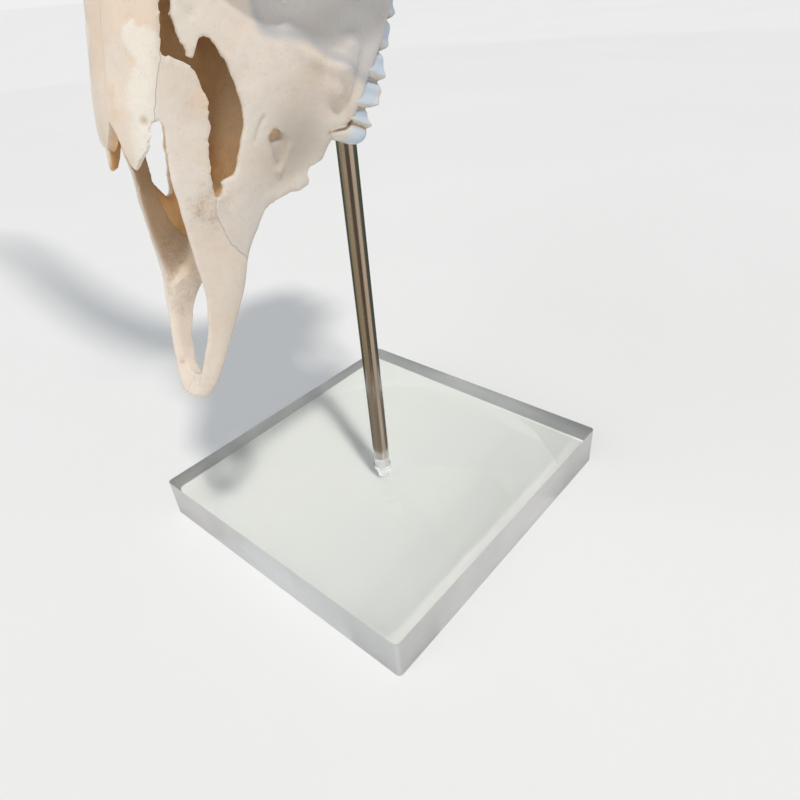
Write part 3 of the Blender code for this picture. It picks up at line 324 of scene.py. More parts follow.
# Fine shape: dents and bumps as (x, y, z, radius, depth) on the left side, and where one side has its own
DENTS = [
    (22.6, 76.6, 8.6, 3.4, 0.5), (21.0, 75.0, 15.0, 5.0, 0.4), (24.5, 93, 17, 7.0, 1.3),
    (29, 104, 20, 7, 0.8), (24, 98, 34, 8, 0.6), (9, 100, 0, 4, 0.5), (17, 118, 66, 4, 0.6),
    (14, 150, 76, 2.6, 2.2), (13.6, 138, 70, 2.2, 1.2), (27, 200, 60, 12, 0.8),
    (10, 225, 40, 3, 0.8), (8, 215, 22, 2.2, 2.0), (13, 190, 24, 2.0, 2.4), (12, 176, 26, 1.8, 2.2),
    (24, 190, 36, 3.0, 1.6), (9, 106, 5, 1.6, 1.8), (20, 226, 48, 5, 0.8), (0, 180, 18, 4, 0.6),
]
BUMPS = [
    (26.6, 84.8, 7.8, 1.8, 1.2), (24.6, 84.6, 11.0, 2.4, 0.9), (22.6, 84.4, 14.6, 3.0, 0.7),
    (21.4, 85.2, 19.4, 3.6, 0.5), (19.6, 66.0, 1.2, 1.5, 0.5), (18.6, 64.4, 2.8, 1.2, 0.3),
    (17.0, 58.8, 4.6, 1.6, 0.5), (17.0, 60.0, 11.3, 1.1, 0.4), (15.6, 54.5, 10.8, 1.2, 0.35),
    (24.4, 74.6, 2.6, 2.0, 0.3), (0, 232, 52, 4, 0.8),
]
LEFT_DENTS = [(9.9, 59.9, 41.2, 0.8, 0.6), (15.0, 81.3, 39.0, 1.3, 0.6)]
RIGHT_DENTS = [(-4.6, 7.0, 10.7, 0.8, 0.5)]

# The unevenness of all bone: how deep and how wide it is, and its seed
UNEVEN = [(0.16, 7.0, 1), (0.07, 2.6, 2), (0.03, 1.3, 3)]
ROOT_SWELL = 0.22
FLAKE_HEIGHT = 0.16

# The slit round the first tooth's root, and all narrow grooves: a path, a radius, a depth that is below 0
# for a ridge, and a share of brown
ROOT_SLIT = ([(21.2, 71.8, 3.2), (21.6, 72.4, 2.4), (22.1, 72.7, 1.9), (22.8, 73.5, 0.8),
              (23.0, 73.9, 0.1), (23.1, 74.4, -0.6), (23.0, 75.4, -1.3), (22.7, 76.5, -1.7)], 0.35)
GROOVES = [
    (*ROOT_SLIT, 0.6, 1.0),
    ([(18.2, 69.0, 19.5), (17.6, 66.5, 19.7), (17.1, 64.0, 19.5)], 0.5, 0.55, 0.12),
    ([(18.1, 65.6, 17.6), (17.7, 63.2, 15.8), (17.2, 61.0, 12.6), (17.1, 60.0, 11.5)], 0.75, -0.35, 0.0),
    ([(19.0, 65.4, 11.2), (18.2, 62.6, 11.0), (17.2, 60.2, 11.2)], 0.75, -0.35, 0.0),
    ([(14, 150, 76), (13, 142, 72.5), (12.6, 133, 68), (13, 126, 65)], 1.1, 0.7, 0.1),
    ([(30, 206, 60), (33, 196, 52), (34, 184, 44)], 2.2, 0.6, 0.0),
    ([(25.5, 92, 24), (23.5, 104, 33), (24, 116, 38)], 2.6, 0.45, 0.0),
    ([(21.0, 85.6, 20.5), (22.3, 84.4, 14.5), (24.3, 84.4, 10.5), (26.6, 84.6, 7.4)], 1.8, -0.9, 0.0),
    ([(24.0, 89.5, 20.5), (24.6, 88.4, 14.5), (26.2, 88.0, 10.0), (27.4, 88.0, 6.5)], 2.2, 0.5, 0.0),
    ([(26.6, 82.6, 7.0), (25.0, 80.0, 5.6), (23.4, 77.2, 4.2)], 1.8, 0.4, 0.12),
]

# Colours: where the cheek's painted shade begins, as y at each height, the side of the nasal bones' pale
# patch, as x at each y, and its rear end
PAINTED_SHADE_FRONT = [(4, 84.8), (9, 84.9), (12.6, 85.8), (16.5, 86.2), (20, 85.4), (24, 84.2), (25.5, 84.1),
               (27.5, 85.5), (29.5, 88), (33, 96)]
PATCH_SIDE = [(50, 5.5), (58, 7.6), (65, 7.9), (68, 8.6), (70, 9.4), (72, 7.4), (78, 7.2)]
PATCH_REAR = 76.2

# Painted shade in soft patches, each a place and a reach in y and z: the greyish scoop and the drab hollow
# before the teeth
PAINTED_SCOOP_SHADE = ((63.2, 13.2), (2.6, 1.9))
PAINTED_HOLLOW_SHADE = ((68, 10), (11, 8))

# The pit in the cheek, brown partly as stain and partly as painted shade, and the orange spot of the nasal
# bones:
# x, y, z and radius
PIT = (16.6, 67.2, 15.4, 1.9)
NASAL_SPOT = (2.6, 62, 44, 3.2)

# Stains on the bones whose names begin so, and dark dots painted into small dents and hollows as their
# shade: the mask, the spot's x, y, z and radius, and how strong it is
STAINS_AND_SHADED_DOTS = [
    ("", "rough", (13.6, 47, 24, 4.5), 0.8),
    ("nasal", "slit", (9.9, 59.9, 41.2, 0.7), 0.6),
    ("premaxilla", "warm", (14.9, 67.8, 32.2, 2.6), 0.35),
    ("premaxilla", "warm", (13.3, 47.8, 26, 2.2), 0.3),
    ("premaxilla", "warm", (13.6, 57, 28, 2.2), 0.25),
    ("premaxilla", "rough", (13.4, 49, 25, 4.0), 0.9),
    ("premaxilla", "slit", (-4.6, 7.0, 10.7, 0.45), 1.0),
    ("maxilla", "slit", (17.4, 62.0, 12.4, 0.4), 1.0),
]
MASKS = ("inside", "deep", "rough", "pink", "warm", "painted_cheek_shade", "pale", "slit", "painted_drab_shade")

# A point on or near each bone: those of pairs are given for the left side
SEEDS = {
    "braincase": (0, 230, 60),
    "frontal_left": (30, 158, 70),
    "lacrimal_left": (36, 120, 42),
    "zygomatic_left": (49.5, 150, 21),
    "maxilla_left": (24, 85, 12),
    "nasal_left": (6, 80, 48),
    "premaxilla_left": (11, 25, 14),
}
SCRAP_POINTS = 400

# Studio: lamps as name, place, strength, spread in degrees and colour
FLOOR_HALF = 30.0
FLOOR_Z = -0.02
SKY = 0.46
SKY_COLOUR = (0.92, 0.96, 1.0, 1.0)
BACKDROP = 0.94
BACKDROP_COLOUR = (0.93, 0.93, 0.93, 1.0)
LAMPS = [("sun", (-0.207, -0.488, 0.848), 1.55, 5, (1.0, 0.955, 0.89)),
         ("fill", (-0.9, 0.25, 0.5), 0.75, 60, (0.93, 0.97, 1.0))]

# Cards that only reflections see: from and to an angle round the rod, and the far and near cards' colours
CARDS = [
    (-60, 129, (0.10, 0.115, 0.09), (0.22, 0.20, 0.17)),
    (129, 203, (0.42, 0.33, 0.22), (0.38, 0.32, 0.25)),
    (203, 249, (0.13, 0.095, 0.07), (0.30, 0.25, 0.20)),
    (249, 300, (0.72, 0.58, 0.46), (0.66, 0.56, 0.47)),
]

# How far from the rod they begin and end, and their height
FAR_CARD = (70.0, 1800.0, 0.4)
NEAR_CARD = (12.0, 56.0, BLOCK_THICK + 0.1)

# Camera, solved from the block's corners in the photo: its place in metres, its turn and its focal length
PHOTO_SIDE = 800
FOCAL_PIXELS = 619.063
FILM_WIDTH = 36
NEAREST_SEEN = 0.005
CAMERA_PLACE = (-0.13748, -0.13935, 0.17778)
CAMERA_TURN = (1.98362327, -0.964942698, 0.415666495)

# Fineness
FIRST_VOXEL = 0.8
VOXEL = 0.6
TOOTH_VOXEL = 0.3

# Whole numbers that scatter the cells of the noise
HASH_PRIMES = (73856093, 19349663, 83492791)
HASH_FACTOR = 1274126177


# Tools


def flow(knots, at):
    """A smooth curve through the knots, read at one place or at several."""
    knots = np.array(knots, float)
    x, y = knots[:, 0], knots[:, 1]
    slope = np.gradient(y, x)
    at = np.clip(at, x[0], x[-1])
    k = np.clip(np.searchsorted(x, at, side="right") - 1, 0, len(x) - 2)
    width = x[k + 1] - x[k]
    t = (at - x[k]) / width
    rise = y[k + 1] - y[k]
    first, last = slope[k] * width, slope[k + 1] * width
    return y[k] + t * (first + t * ((3 * rise - 2 * first - last) + t * (first + last - 2 * rise)))


def ease(low, high, value):
    """0 below low, 1 above high, and smooth between."""
    t = np.clip((value - low) / (high - low), 0, 1)
    return t * t * (3 - 2 * t)


def noise(points, size, seed=0):
    """Smooth noise between -1 and 1, with features of about the given size, the same for the same seed."""
    grid = np.asarray(points, float) / size + 31.7 * (seed + 1)
    cell = np.floor(grid).astype(np.int64)
    part = grid - cell
    part = part * part * (3 - 2 * part)
    total = np.zeros(len(grid))
    for corner in range(8):
        step = np.array([corner & 1, corner >> 1 & 1, corner >> 2 & 1])
        key = (cell + step) @ np.array(HASH_PRIMES)
        key = (key ^ (key >> 13)) * HASH_FACTOR & 0xFFFFFFFF
        value = ((key ^ (key >> 16)) & 0xFFFF) / 65535.0
        total += value * np.prod(np.where(step == 1, part, 1 - part), axis=1)
    return 2 * total - 1


def placed(name, data):
    """A mesh, lamp or camera as an object in the scene."""
    item = bpy.data.objects.new(name, data)
    bpy.context.scene.collection.objects.link(item)
    return item


def turns(count):
    """Angles all round a circle."""
    return np.linspace(0, 2 * math.pi, count, endpoint=False)


def new_object(name, points, faces):
    """A mesh object from points in millimetres, with its faces pointing out."""
    mesh = bpy.data.meshes.new(name)
    mesh.from_pydata([tuple(MM * float(c) for c in p) for p in points], [], faces)
    build = bmesh.new()
    build.from_mesh(mesh)
    bmesh.ops.recalc_face_normals(build, faces=build.faces)
    bmesh.ops.triangulate(build, faces=[f for f in build.faces if len(f.verts) > 4])
    build.to_mesh(mesh)
    build.free()
    return placed(name, mesh)


def loft(name, rings):
    """A closed body through rings of equal numbers of points."""
    count = len(rings[0])
    points = [p for ring in rings for p in ring]
    faces = [tuple(reversed(range(count))), tuple(range(len(points) - count, len(points)))]
    for r in range(len(rings) - 1):
        for k in range(count):
            a, b = r * count + k, r * count + (k + 1) % count
            faces.append((a, b, b + count, a + count))
    return new_object(name, points, faces)


def prism(name, outline, low, high, axis="x"):
    """An outline pushed straight through: in y and z along x, or in x and y along z."""
    if axis == "x":
        rings = [[(c, a, b) for a, b in outline] for c in (low, high)]
    else:
        rings = [[(a, b, c) for a, b in outline] for c in (low, high)]
    return loft(name, rings)


def tube(name, path, radii, sides=28, up=(0, 0, 1)):
    """A round or oval bar along a path. Each radius is one number, or two: across, and along up."""
    path = np.array(path, float)
    rings = []
    for k, centre in enumerate(path):
        along = path[min(k + 1, len(path) - 1)] - path[max(k - 1, 0)]
        along = along / np.linalg.norm(along)
        side = np.cross(along, up)
        side = side / np.linalg.norm(side)
        rise = np.cross(side, along)
        wide, tall = radii[k] if isinstance(radii[k], tuple) else (radii[k], radii[k])
        rings.append([centre + wide * math.cos(t) * side + tall * math.sin(t) * rise for t in turns(sides)])
    return loft(name, rings)


def ball(name, centre, radii, lean=0.0):
    """An ellipsoid, which leans about the x axis."""
    mesh = bpy.data.meshes.new(name)
    build = bmesh.new()
    bmesh.ops.create_uvsphere(build, u_segments=48, v_segments=28, radius=1.0)
    bmesh.ops.scale(build, vec=Vector(radii) * MM, verts=build.verts)
    bmesh.ops.rotate(build, matrix=Matrix.Rotation(lean, 3, "X"), verts=build.verts)
    bmesh.ops.translate(build, vec=Vector(centre) * MM, verts=build.verts)
    build.to_mesh(mesh)
    build.free()
    return placed(name, mesh)


def flipped(points, side):
    """The points on the left side, with 1, or mirrored to the right side, with -1."""
    return [(side * p[0],) + tuple(p[1:]) for p in points]


def apply_modifiers(item):
    """Puts what the modifiers make into the object's own mesh."""
    shaped = item.evaluated_get(bpy.context.evaluated_depsgraph_get())
    mesh = bpy.data.meshes.new_from_object(shaped)
    item.modifiers.clear()
    item.data = mesh


def joined(name, items):
    """One object that holds the meshes of several."""
    build = bmesh.new()
    for item in items:
        build.from_mesh(item.data)
    mesh = bpy.data.meshes.new(name)
    build.to_mesh(mesh)
    build.free()
    for item in items:
        bpy.data.objects.remove(item)
    return placed(name, mesh)


def melted(item, voxel, rounds, factor=0.5):
    """One even skin over everything in the object, with soft joins and edges."""
    skin = item.modifiers.new("skin", "REMESH")
    skin.mode = "VOXEL"
    skin.voxel_size = voxel * MM
    soft = item.modifiers.new("soft", "SMOOTH")
    soft.factor = factor
    soft.iterations = rounds
    apply_modifiers(item)


def boolean(item, others, operation):
    """Cuts the others out of the item, or joins them to it, and removes them."""
    group = bpy.data.collections.new("tools")
    for other in others:
        group.objects.link(other)
    step = item.modifiers.new(operation, "BOOLEAN")
    step.operation = operation
    step.solver = "MANIFOLD"
    step.operand_type = "COLLECTION"
    step.collection = group
    apply_modifiers(item)
    for other in others:
        bpy.data.objects.remove(other)
    bpy.data.collections.remove(group)


def coordinates(mesh):
    """The mesh's points in millimetres."""
    points = np.zeros(len(mesh.vertices) * 3)
    mesh.vertices.foreach_get("co", points)
    return points.reshape(-1, 3) / MM


def set_coordinates(mesh, points):
    mesh.vertices.foreach_set("co", (points * MM).ravel())
    mesh.update()


def directions(mesh):
    """The way that the skin faces at each point."""
    normals = np.zeros(len(mesh.vertices) * 3)
    mesh.vertices.foreach_get("normal", normals)
    return normals.reshape(-1, 3)


def write_mask(mesh, name, values):
    """One number at each point, which a material reads by name."""
    mask = mesh.attributes.new(name, "FLOAT", "POINT")
    mask.data.foreach_set("value", np.ascontiguousarray(values, np.float32))


def jagged(line, amount, step=0.7, seed=0):
    """The same line with a small irregular zigzag, as grown bone edges have."""
    line = np.array(line, float)
    lengths = np.linalg.norm(np.diff(line, axis=0), axis=1)
    reach = np.concatenate([[0], np.cumsum(lengths)])
    count = max(3, int(reach[-1] / step))
    at = np.linspace(0, reach[-1], count)
    points = np.column_stack([np.interp(at, reach, line[:, k]) for k in range(2)])
    ahead = np.gradient(points, axis=0)
    ahead = ahead / np.maximum(np.linalg.norm(ahead, axis=1)[:, None], 1e-6)
    away = noise(np.column_stack([points, np.full(count, seed)]), 1.1, seed)
    away = amount * (away + 0.5 * noise(np.column_stack([points, at]), 0.6, seed + 5))
    away[[0, -1]] = 0
    return points + np.column_stack([-ahead[:, 1], ahead[:, 0]]) * away[:, None]


def as_points(rows):
    return [tuple(row) for row in rows]


def ribbon(name, line, low, high):
    """A thin wall that parts two bones, along a line in y and z, from one x to another."""
    line = np.array(line, float)
    ahead = np.gradient(line, axis=0)
    ahead = ahead / np.linalg.norm(ahead, axis=1)[:, None]
    across = np.column_stack([-ahead[:, 1], ahead[:, 0]]) * SUTURE / 2
    return prism(name, as_points(line + across) + as_points((line - across)[::-1]), low, high)


def square_ribbon(name, line, low, high):
    """The same along z with square corners, for a line whose stretches run along x or y."""
    walls = []
    for start, end in zip(line[:-1], line[1:]):
        x0, y0 = np.minimum(start, end) - SUTURE / 2
        x1, y1 = np.maximum(start, end) + SUTURE / 2
        walls.append(prism(name, [(x0, y0), (x1, y0), (x1, y1), (x0, y1)], low, high, "z"))
    return walls


def patch(y, z, place, reach):
    """A soft oval patch on the side of the skull, the same at any x."""
    return np.exp(-((y - place[0]) / reach[0]) ** 2 - ((z - place[1]) / reach[1]) ** 2)


def both(low, high):
    """The stretch from low to high and its mirror image."""
    return [tuple(sorted((side * low, side * high))) for side in SIDES]


# The skull's form, as in the part


def wall_half(y, z):
    """Half of the snout's width at y, at a height between the edge and the shoulder."""
    low, shoulder = flow(EDGE_Z, y), flow(SHOULDER_Z, y)
    share = np.clip((z - low) / (shoulder - low), 0, 1)
    bulge = WALL_BULGE * np.sin(math.pi * share)
    return flow(EDGE_HALF, y) * (1 - share) + flow(SHOULDER_HALF, y) * share + bulge


def wall_thick(y, z):
    """How thick the snout's side wall is: thin round the side opening, thick round the canal behind the
    face hole."""
    thin = (FACE_WALL - WALL) * ease(46, 56, y) * ease(17, 21, z)
    return WALL + thin + CANAL_WALL * patch(y, z, *CANAL)


def snout_section(y, low=None):
    """Half of the snout's section at y, from the middle of its underside round to the middle of its roof.

    With the height of a floor, it is the section of the space inside the snout.
    """
    bottom = flow(EDGE_Z, y) if low is None else low
    shoulder = flow(SHOULDER_Z, y)
    roof = flow(ROOF_Z, y) - (0.0 if low is None else WALL)
    wall = []
    for t in np.linspace(0.06, 1, 14):
        z = bottom + (shoulder - bottom) * t
        wall.append((wall_half(y, z) - (0.0 if low is None else wall_thick(y, z)), z))
    points = [(0.0, bottom), (wall[0][0] - 1.2, bottom)] + wall
    if roof <= shoulder:
        return points + [(0.0, shoulder + 0.01)]
    narrow = wall[-1][0]
    for t in np.linspace(0, math.pi / 2, 12)[1:]:
        points.append((narrow * math.cos(t), shoulder + (roof - shoulder) * math.sin(t)))
    return points


def ring_at(y, half):
    """A whole ring at y from the half of it, in x and z, with x at or above 0."""
    return [(x, y, z) for x, z in half + [(-x, z) for x, z in half[-2:0:-1]]]


def snout():
    places = np.arange(SNOUT_START, SNOUT_END + 0.1, SNOUT_STEP)
    return loft("snout", [ring_at(y, snout_section(y)) for y in places])


def frontal_roof():
    rings = []
    for y in np.arange(FRONTAL_HALF[0][0], FRONTAL_HALF[-1][0] + 0.1, FRONTAL_STEP):
        half, edge = flow(FRONTAL_HALF, y), flow(FRONTAL_EDGE_Z, y)
        top = max(flow(ROOF_Z, y), edge + FRONTAL_RISE)
        crown = [(half * math.cos(t), edge + (top - edge) * math.sin(t) ** FRONTAL_ROUND)
                 for t in np.linspace(math.pi / 2, 0.1, 18)]
        under = [(half * s, edge - FRONTAL_EDGE_THICK - FRONTAL_SAG * (1 - s))
                 for s in np.linspace(1, 0, 10)]
        rings.append(ring_at(y, crown + under))
    return loft("frontal roof", rings)


def orbit_frame():
    """Two directions in the plane of an eye socket's rim, and its axis."""
    axis = np.array(ORBIT_AXIS) / np.linalg.norm(ORBIT_AXIS)
    back = np.cross((0, 0, 1), axis)
    back = back / np.linalg.norm(back)
    return back, np.cross(axis, back), axis


def orbit_rims():
    back, up, axis = orbit_frame()
    rims = []
    for side in SIDES:
        rings = []
        for turn in turns(RIM_STEPS):
            out = math.cos(turn) * back + math.sin(turn) * up
            ring = []
            for t in turns(RIM_SIDES):
                spread = RIM_RADIUS * (RIM_WIDE * math.cos(t) * out + RIM_TALL * math.sin(t) * axis)
                ring.append(np.array(ORBIT) + ORBIT_RADIUS * out + spread)
            rings.append(flipped(ring, side))
        points = [p for ring in rings for p in ring]
        faces = []
        for r in range(RIM_STEPS):
            here, there = r * RIM_SIDES, ((r + 1) % RIM_STEPS) * RIM_SIDES
            for k in range(RIM_SIDES):
                after = (k + 1) % RIM_SIDES
                faces.append((here + k, here + after, there + after, there + k))
        rims.append(new_object("orbit rim", points, faces))
    return rims


def bar(name, form, side, up=(0, 0, 1)):
    """One of the bars above, on the left or mirrored to the right."""
    path, radii = form
    return tube(name, flipped(path, side), radii, up=up)


def lump(name, form, side, lean=0.0):
    centre, radii = form
    return ball(name, flipped([centre], side)[0], radii, lean)


def cheeks():
    """The wall that widens from the face to the eye socket, and the arch behind it."""
    pieces = []
    for side in SIDES:
        pieces += [
            bar("cheek", CHEEK, side),
            bar("arch", ARCH, side),
            bar("tear bone", TEAR_BONE, side),
            lump("face bump", FACE_BUMP, side),
            bar("edge spur", EDGE_SPUR, side),
            bar("tooth rim", TOOTH_RIM, side),
        ]
    return pieces


def cranium():
    """The brain's case, the floor of the skull and what stands on them."""
    pieces = [
        lump("case", BRAIN_CASE, 1),
        lump("rear", BRAIN_REAR, 1),
        bar("core", CORE, 1),
        bar("floor", SKULL_FLOOR, 1),
        bar("nape crest", NAPE_CREST, 1),
    ]
    for side in SIDES:
        pieces += [
            lump("condyle", CONDYLE, side, CONDYLE_LEAN),
            lump("bulla", EAR_BULLA, side),
            lump("ear", EAR_MOUND, side),
            bar("nape spike", NAPE_SPIKE, side, (0, 1, 0)),
            bar("throat wing", THROAT_WING, side),
            bar("wing hook", WING_HOOK, side),
        ]
    return pieces


def horn_line(side, start, end, steps):
    """Points along the middle of a horn, and the share of its length at each."""
    fine = HORN_FINE
    shares = (np.arange(fine) + 0.5) / fine
    rise, splay = np.radians(flow(HORN_RISE, shares)), np.radians(flow(HORN_SPLAY, shares))
    step = np.column_stack([np.sin(splay), np.cos(splay) * np.cos(rise), np.cos(splay) * np.sin(rise)])
    line = np.vstack([np.zeros(3), np.cumsum(step * HORN_LENGTH / fine, axis=0)]) + np.array(HORN_ROOT)
    wanted = np.linspace(start, end, steps)
    places = np.column_stack([np.interp(wanted, np.linspace(0, 1, fine + 1), line[:, k]) for k in range(3)])
    places[:, 0] *= side
    return places, wanted


def horn_core(side):
    """The bone inside the horn, rooted in the frontal bone."""
    line, shares = horn_line(side, 0, CORE_LENGTH / HORN_LENGTH, 24)
    line[0] = line[1] + (line[0] - line[1]) * 3.0
    root = HORN_RADIUS - HORN_WALL - CORE_ROOM
    radii = [root * (1 - CORE_SLIM * (s * HORN_LENGTH / CORE_LENGTH) ** 1.5) for s in shares]
    return tube("horn core", line, [(CORE_OVAL * r, r) for r in radii], 48, (0, 1, 0))


def nasal_space():
    """The space inside the snout, open to the front, to the sides and to the throat."""
    rings = []
    for y in list(np.arange(SLOT_BACK - SLOT_RAMP, 125, SNOUT_STEP)) + [NOSE_WALL_Y + 1.5]:
        floor = (flow(EDGE_Z, y) if y < PALATE_START else PALATE_Z) + FLOOR_THICK
        floor += (flow(SHOULDER_Z, y) - floor) * max(0.0, (SLOT_BACK - y) / SLOT_RAMP)
        rings.append(ring_at(y, snout_section(y, low=floor)))
    return loft("nasal space", rings)


def front_slot():
    """The slot between the two bars that carry the upper lip."""
    rings = []
    for y in np.arange(SLOT_HALF[0][0], SLOT_HALF[-1][0] + 0.1, SNOUT_STEP / 2):
        low, top = flow(EDGE_Z, y), flow(SHOULDER_Z, y)
        half = flow(SLOT_HALF, y)
        ridge = max(half, min(flow(SHOULDER_HALF, y) - WALL, half * 3))
        foot, head = low - SLOT_BELOW, top + SLOT_ABOVE
        rings.append(ring_at(y, [(0.0, foot), (half, foot), (half, low),
                                 (ridge, top), (ridge, head), (0.0, head)]))
    return loft("front slot", rings)


def bar_slope(outline, side):
    """The inward slope along the top of one bar and of the blade behind it."""
    rings = []
    for y in np.arange(BAR_SLOPE_FROM, BAR_SLOPE_TO + 0.1, SNOUT_STEP):
        top, half = flow(outline, y), flow(SHOULDER_HALF, y)
        low, high = top - BAR_SLOPE, top + 0.5
        ring = [(0.0, y, low), (half - WALL, y, low), (half - 0.7, y, high), (0.0, y, high)]
        rings.append(flipped(ring, side))
    return loft("bar slope", rings)


def palate_hollow():
    """The vault of the palate between the tooth rows."""
    rings = []
    for y in np.arange(VAULT_FROM, VAULT_TO + 0.1, SNOUT_STEP):
        half = flow(EDGE_HALF, y) - (EDGE_ROOM + TEETH_ROOM * np.clip((y - TEETH_FROM) / TEETH_GROW, 0, 1))
        vault = PALATE_Z if y > VAULT_START else flow(EDGE_Z, y) + 0.8
        rise = 2.0 if y < VAULT_START else vault
        arch = [(half * math.cos(t), vault - rise + rise * math.sin(t))
                for t in np.linspace(0, math.pi / 2, 10)]
        rings.append(ring_at(y, [(0.0, BELOW), (half + 1.5, BELOW)] + arch))
    return loft("palate hollow", rings)


def throat():
    """The way from the nose to the throat, behind the palate."""
    rings = []
    for y, top in THROAT_TOPS:
        ring = [(-THROAT_OPEN_HALF, y, BELOW), (THROAT_OPEN_HALF, y, BELOW)]
        for t in np.linspace(0, math.pi, 17):
            ring.append((THROAT_OPEN_HALF * math.cos(t), y, top - THROAT_ARCH * (1 - math.sin(t))))
        rings.append(ring)
    return loft("throat", rings)


def orbit_hollows():
    _, _, axis = orbit_frame()
    path = [np.array(ORBIT) + axis * reach for reach, _ in ORBIT_HOLLOW]
    radii = [radius for _, radius in ORBIT_HOLLOW]
    return [tube("orbit hollow", flipped(path, side), radii, 64) for side in SIDES]


def openings():
    """Everything that is cut out of the melted skull."""
    process, spur, front = [as_points(jagged(part, OPENING_JAG, seed=k))
                            for k, part in enumerate((PROCESS_REAR, SPUR, VACUITY_FRONT))]
    vacuity = process + VACUITY_UPPER + spur + front
    margin = as_points(jagged(MARGIN, MARGIN_JAG, seed=3)) + [(MARGIN[-1][0], BELOW), (MARGIN[0][0], BELOW)]
    cuts = [
        nasal_space(),
        front_slot(),
        bar_slope(LEFT_BLADE_TOP, 1),
        bar_slope(RIGHT_BLADE_TOP, -1),
        prism("aperture left", LEFT_BLADE_TOP + APERTURE_ABOVE, -0.1, SIDE_REACH),
        prism("aperture right", RIGHT_BLADE_TOP + APERTURE_ABOVE, -SIDE_REACH, 0.1),
        prism("vacuity left", vacuity, VACUITY_FROM, SIDE_REACH),
        prism("vacuity right", vacuity, -SIDE_REACH, -VACUITY_FROM),
        prism("right corner", RIGHT_CORNER, -SIDE_REACH, -VACUITY_FROM),
        palate_hollow(),
        throat(),
        tube("great hole", *GREAT_HOLE, 40),
    ]
    cuts += orbit_hollows()
    for side, reach in zip(SIDES, both(*MARGIN_REACH)):
        cuts += [
            prism("palate slit", flipped(PALATE_SLIT, side), *PALATE_SLIT_REACH, "z"),
            bar("face hole", FACE_HOLE, side),
            bar("face scoop", FACE_SCOOP, side),
            prism("margin", margin, *reach),
            bar("ear hole", EAR_HOLE, side),
        ]
    return cuts


def sutures():
    """The thin cuts between the bones."""
    brow = as_points(jagged(BROW_LINE, 0.3, seed=11))
    crown = as_points(jagged(CROWN_LINE, 0.5, seed=12))
    front_half = [(BELOW, -20), (NOSE_WALL_Y, -20)] + brow + crown[1:] + [(BELOW, 112)]
    cuts = [ribbon(name, jagged(line, amount, seed=seed), -SEAM_REACH, SEAM_REACH)
            for name, line, amount, seed in FACE_SEAMS]
    cuts += [
        ribbon("under the brow", brow, -BROW_REACH, BROW_REACH),
        ribbon("crown", crown, -CROWN_REACH, CROWN_REACH),
        prism("middle", front_half, -SUTURE / 2, SUTURE / 2),
    ]
    for low, high, half, rear in NOSE_WALLS:
        line = [(-half, rear), (-half, NOSE_WALL_Y), (half, NOSE_WALL_Y), (half, rear)]
        cuts += square_ribbon("nose wall", line, low, high)
    for start, *seams in SIDE_SEAMS:
        for reach in both(start, SEAM_REACH):
            cuts += [ribbon(name, jagged(line, SIDE_SEAM_JAG, seed=seed), *reach)
                     for name, line, seed in seams]
    return cuts + suture_meets()


def suture_meets():
    """Small cuts where two seams meet inside the skull, so that no sliver of bone joins their sides."""
    cuts = [prism("brow end", BROW_END, -CROWN_REACH, CROWN_REACH)]
    walls = both(NOSE_WALL_HALF - MEET, NOSE_WALL_HALF + MEET)
    steps = both(THROAT_HALF - MEET, NOSE_WALL_HALF + MEET)
    for wall, step in zip(walls, steps):
        cuts += [prism("wall top", WALL_TOP, *wall), prism("wall step", WALL_STEP, *step)]
    return cuts


def rod_in_skull():
    """The rod's line in the skull's frame, as a cutter with room round it."""
    along = np.array([0.0, math.sin(TILT), math.cos(TILT)])
    held = np.array([0.0, HELD_Y, HELD_Z])
    path = [held - along * 60, held, held + along * (ROD_TOP - HELD_HEIGHT + GAP)]
    return tube("rod room", path, [ROD_RADIUS + GAP] * 3, 48)


# Fine shape


def path_distance(points, path):
    """How far each point is from a path, or from its mirror image on the other side."""
    mirrored = points * np.where(points[:, :1] < 0, np.array([-1.0, 1, 1]), 1.0)
    nearest = np.full(len(points), 1e9)
    for start, end in zip(np.array(path[:-1], float), np.array(path[1:], float)):
        along = end - start
        share = np.clip((mirrored - start) @ along / (along @ along), 0, 1)
        nearest = np.minimum(nearest, np.linalg.norm(mirrored - start - share[:, None] * along, axis=1))
    return nearest


def blob(points, x, y, z, radius):
    """A soft spot round one point."""
    return np.exp(-(np.linalg.norm(points - np.array([x, y, z]), axis=1) / radius) ** 2)


def groove_share(points, path, radius):
    """1 along the middle of a groove on either side, and 0 away from it."""
    return np.exp(-(path_distance(points, path) / radius) ** 2)


def sculpt(mesh):
    """Dents, bumps and the uneven skin of real bone, pressed into the smooth form."""
    points, out = coordinates(mesh), directions(mesh)
    move = sum(depth * noise(points, size, seed) for depth, size, seed in UNEVEN)
    for forms, sign in ((DENTS, -1), (BUMPS, 1)):
        for x, y, z, radius, depth in forms:
            for side in SIDES:
                move += sign * depth * blob(points, side * x, y, z, radius)
    for x, y, z, radius, depth in LEFT_DENTS + RIGHT_DENTS:
        move -= depth * blob(points, x, y, z, radius)
    x, y, z = points.T
    roots = np.array(TOOTH_FRONTS + [TOOTH_END])
    across = np.interp(y, roots, np.arange(len(roots)))
    swell = 0.5 + 0.5 * np.cos(2 * math.pi * (across - 0.5))
    near = ease(-0.5, 1.5, z) * (1 - ease(5, 11, z))
    near *= ease(70, 74, y) * (1 - ease(128, 132, y)) * ease(14, 20, np.abs(x))
    move += ROOT_SWELL * near * (swell - 0.5)
    top = ease(0.0, 0.6, out[:, 2]) * (z > 36)
    move += FLAKE_HEIGHT * flaked(points) * top
    for path, radius, depth, _ in GROOVES:
        move -= depth * groove_share(points, path, radius)
    set_coordinates(mesh, points + out * move[:, None])


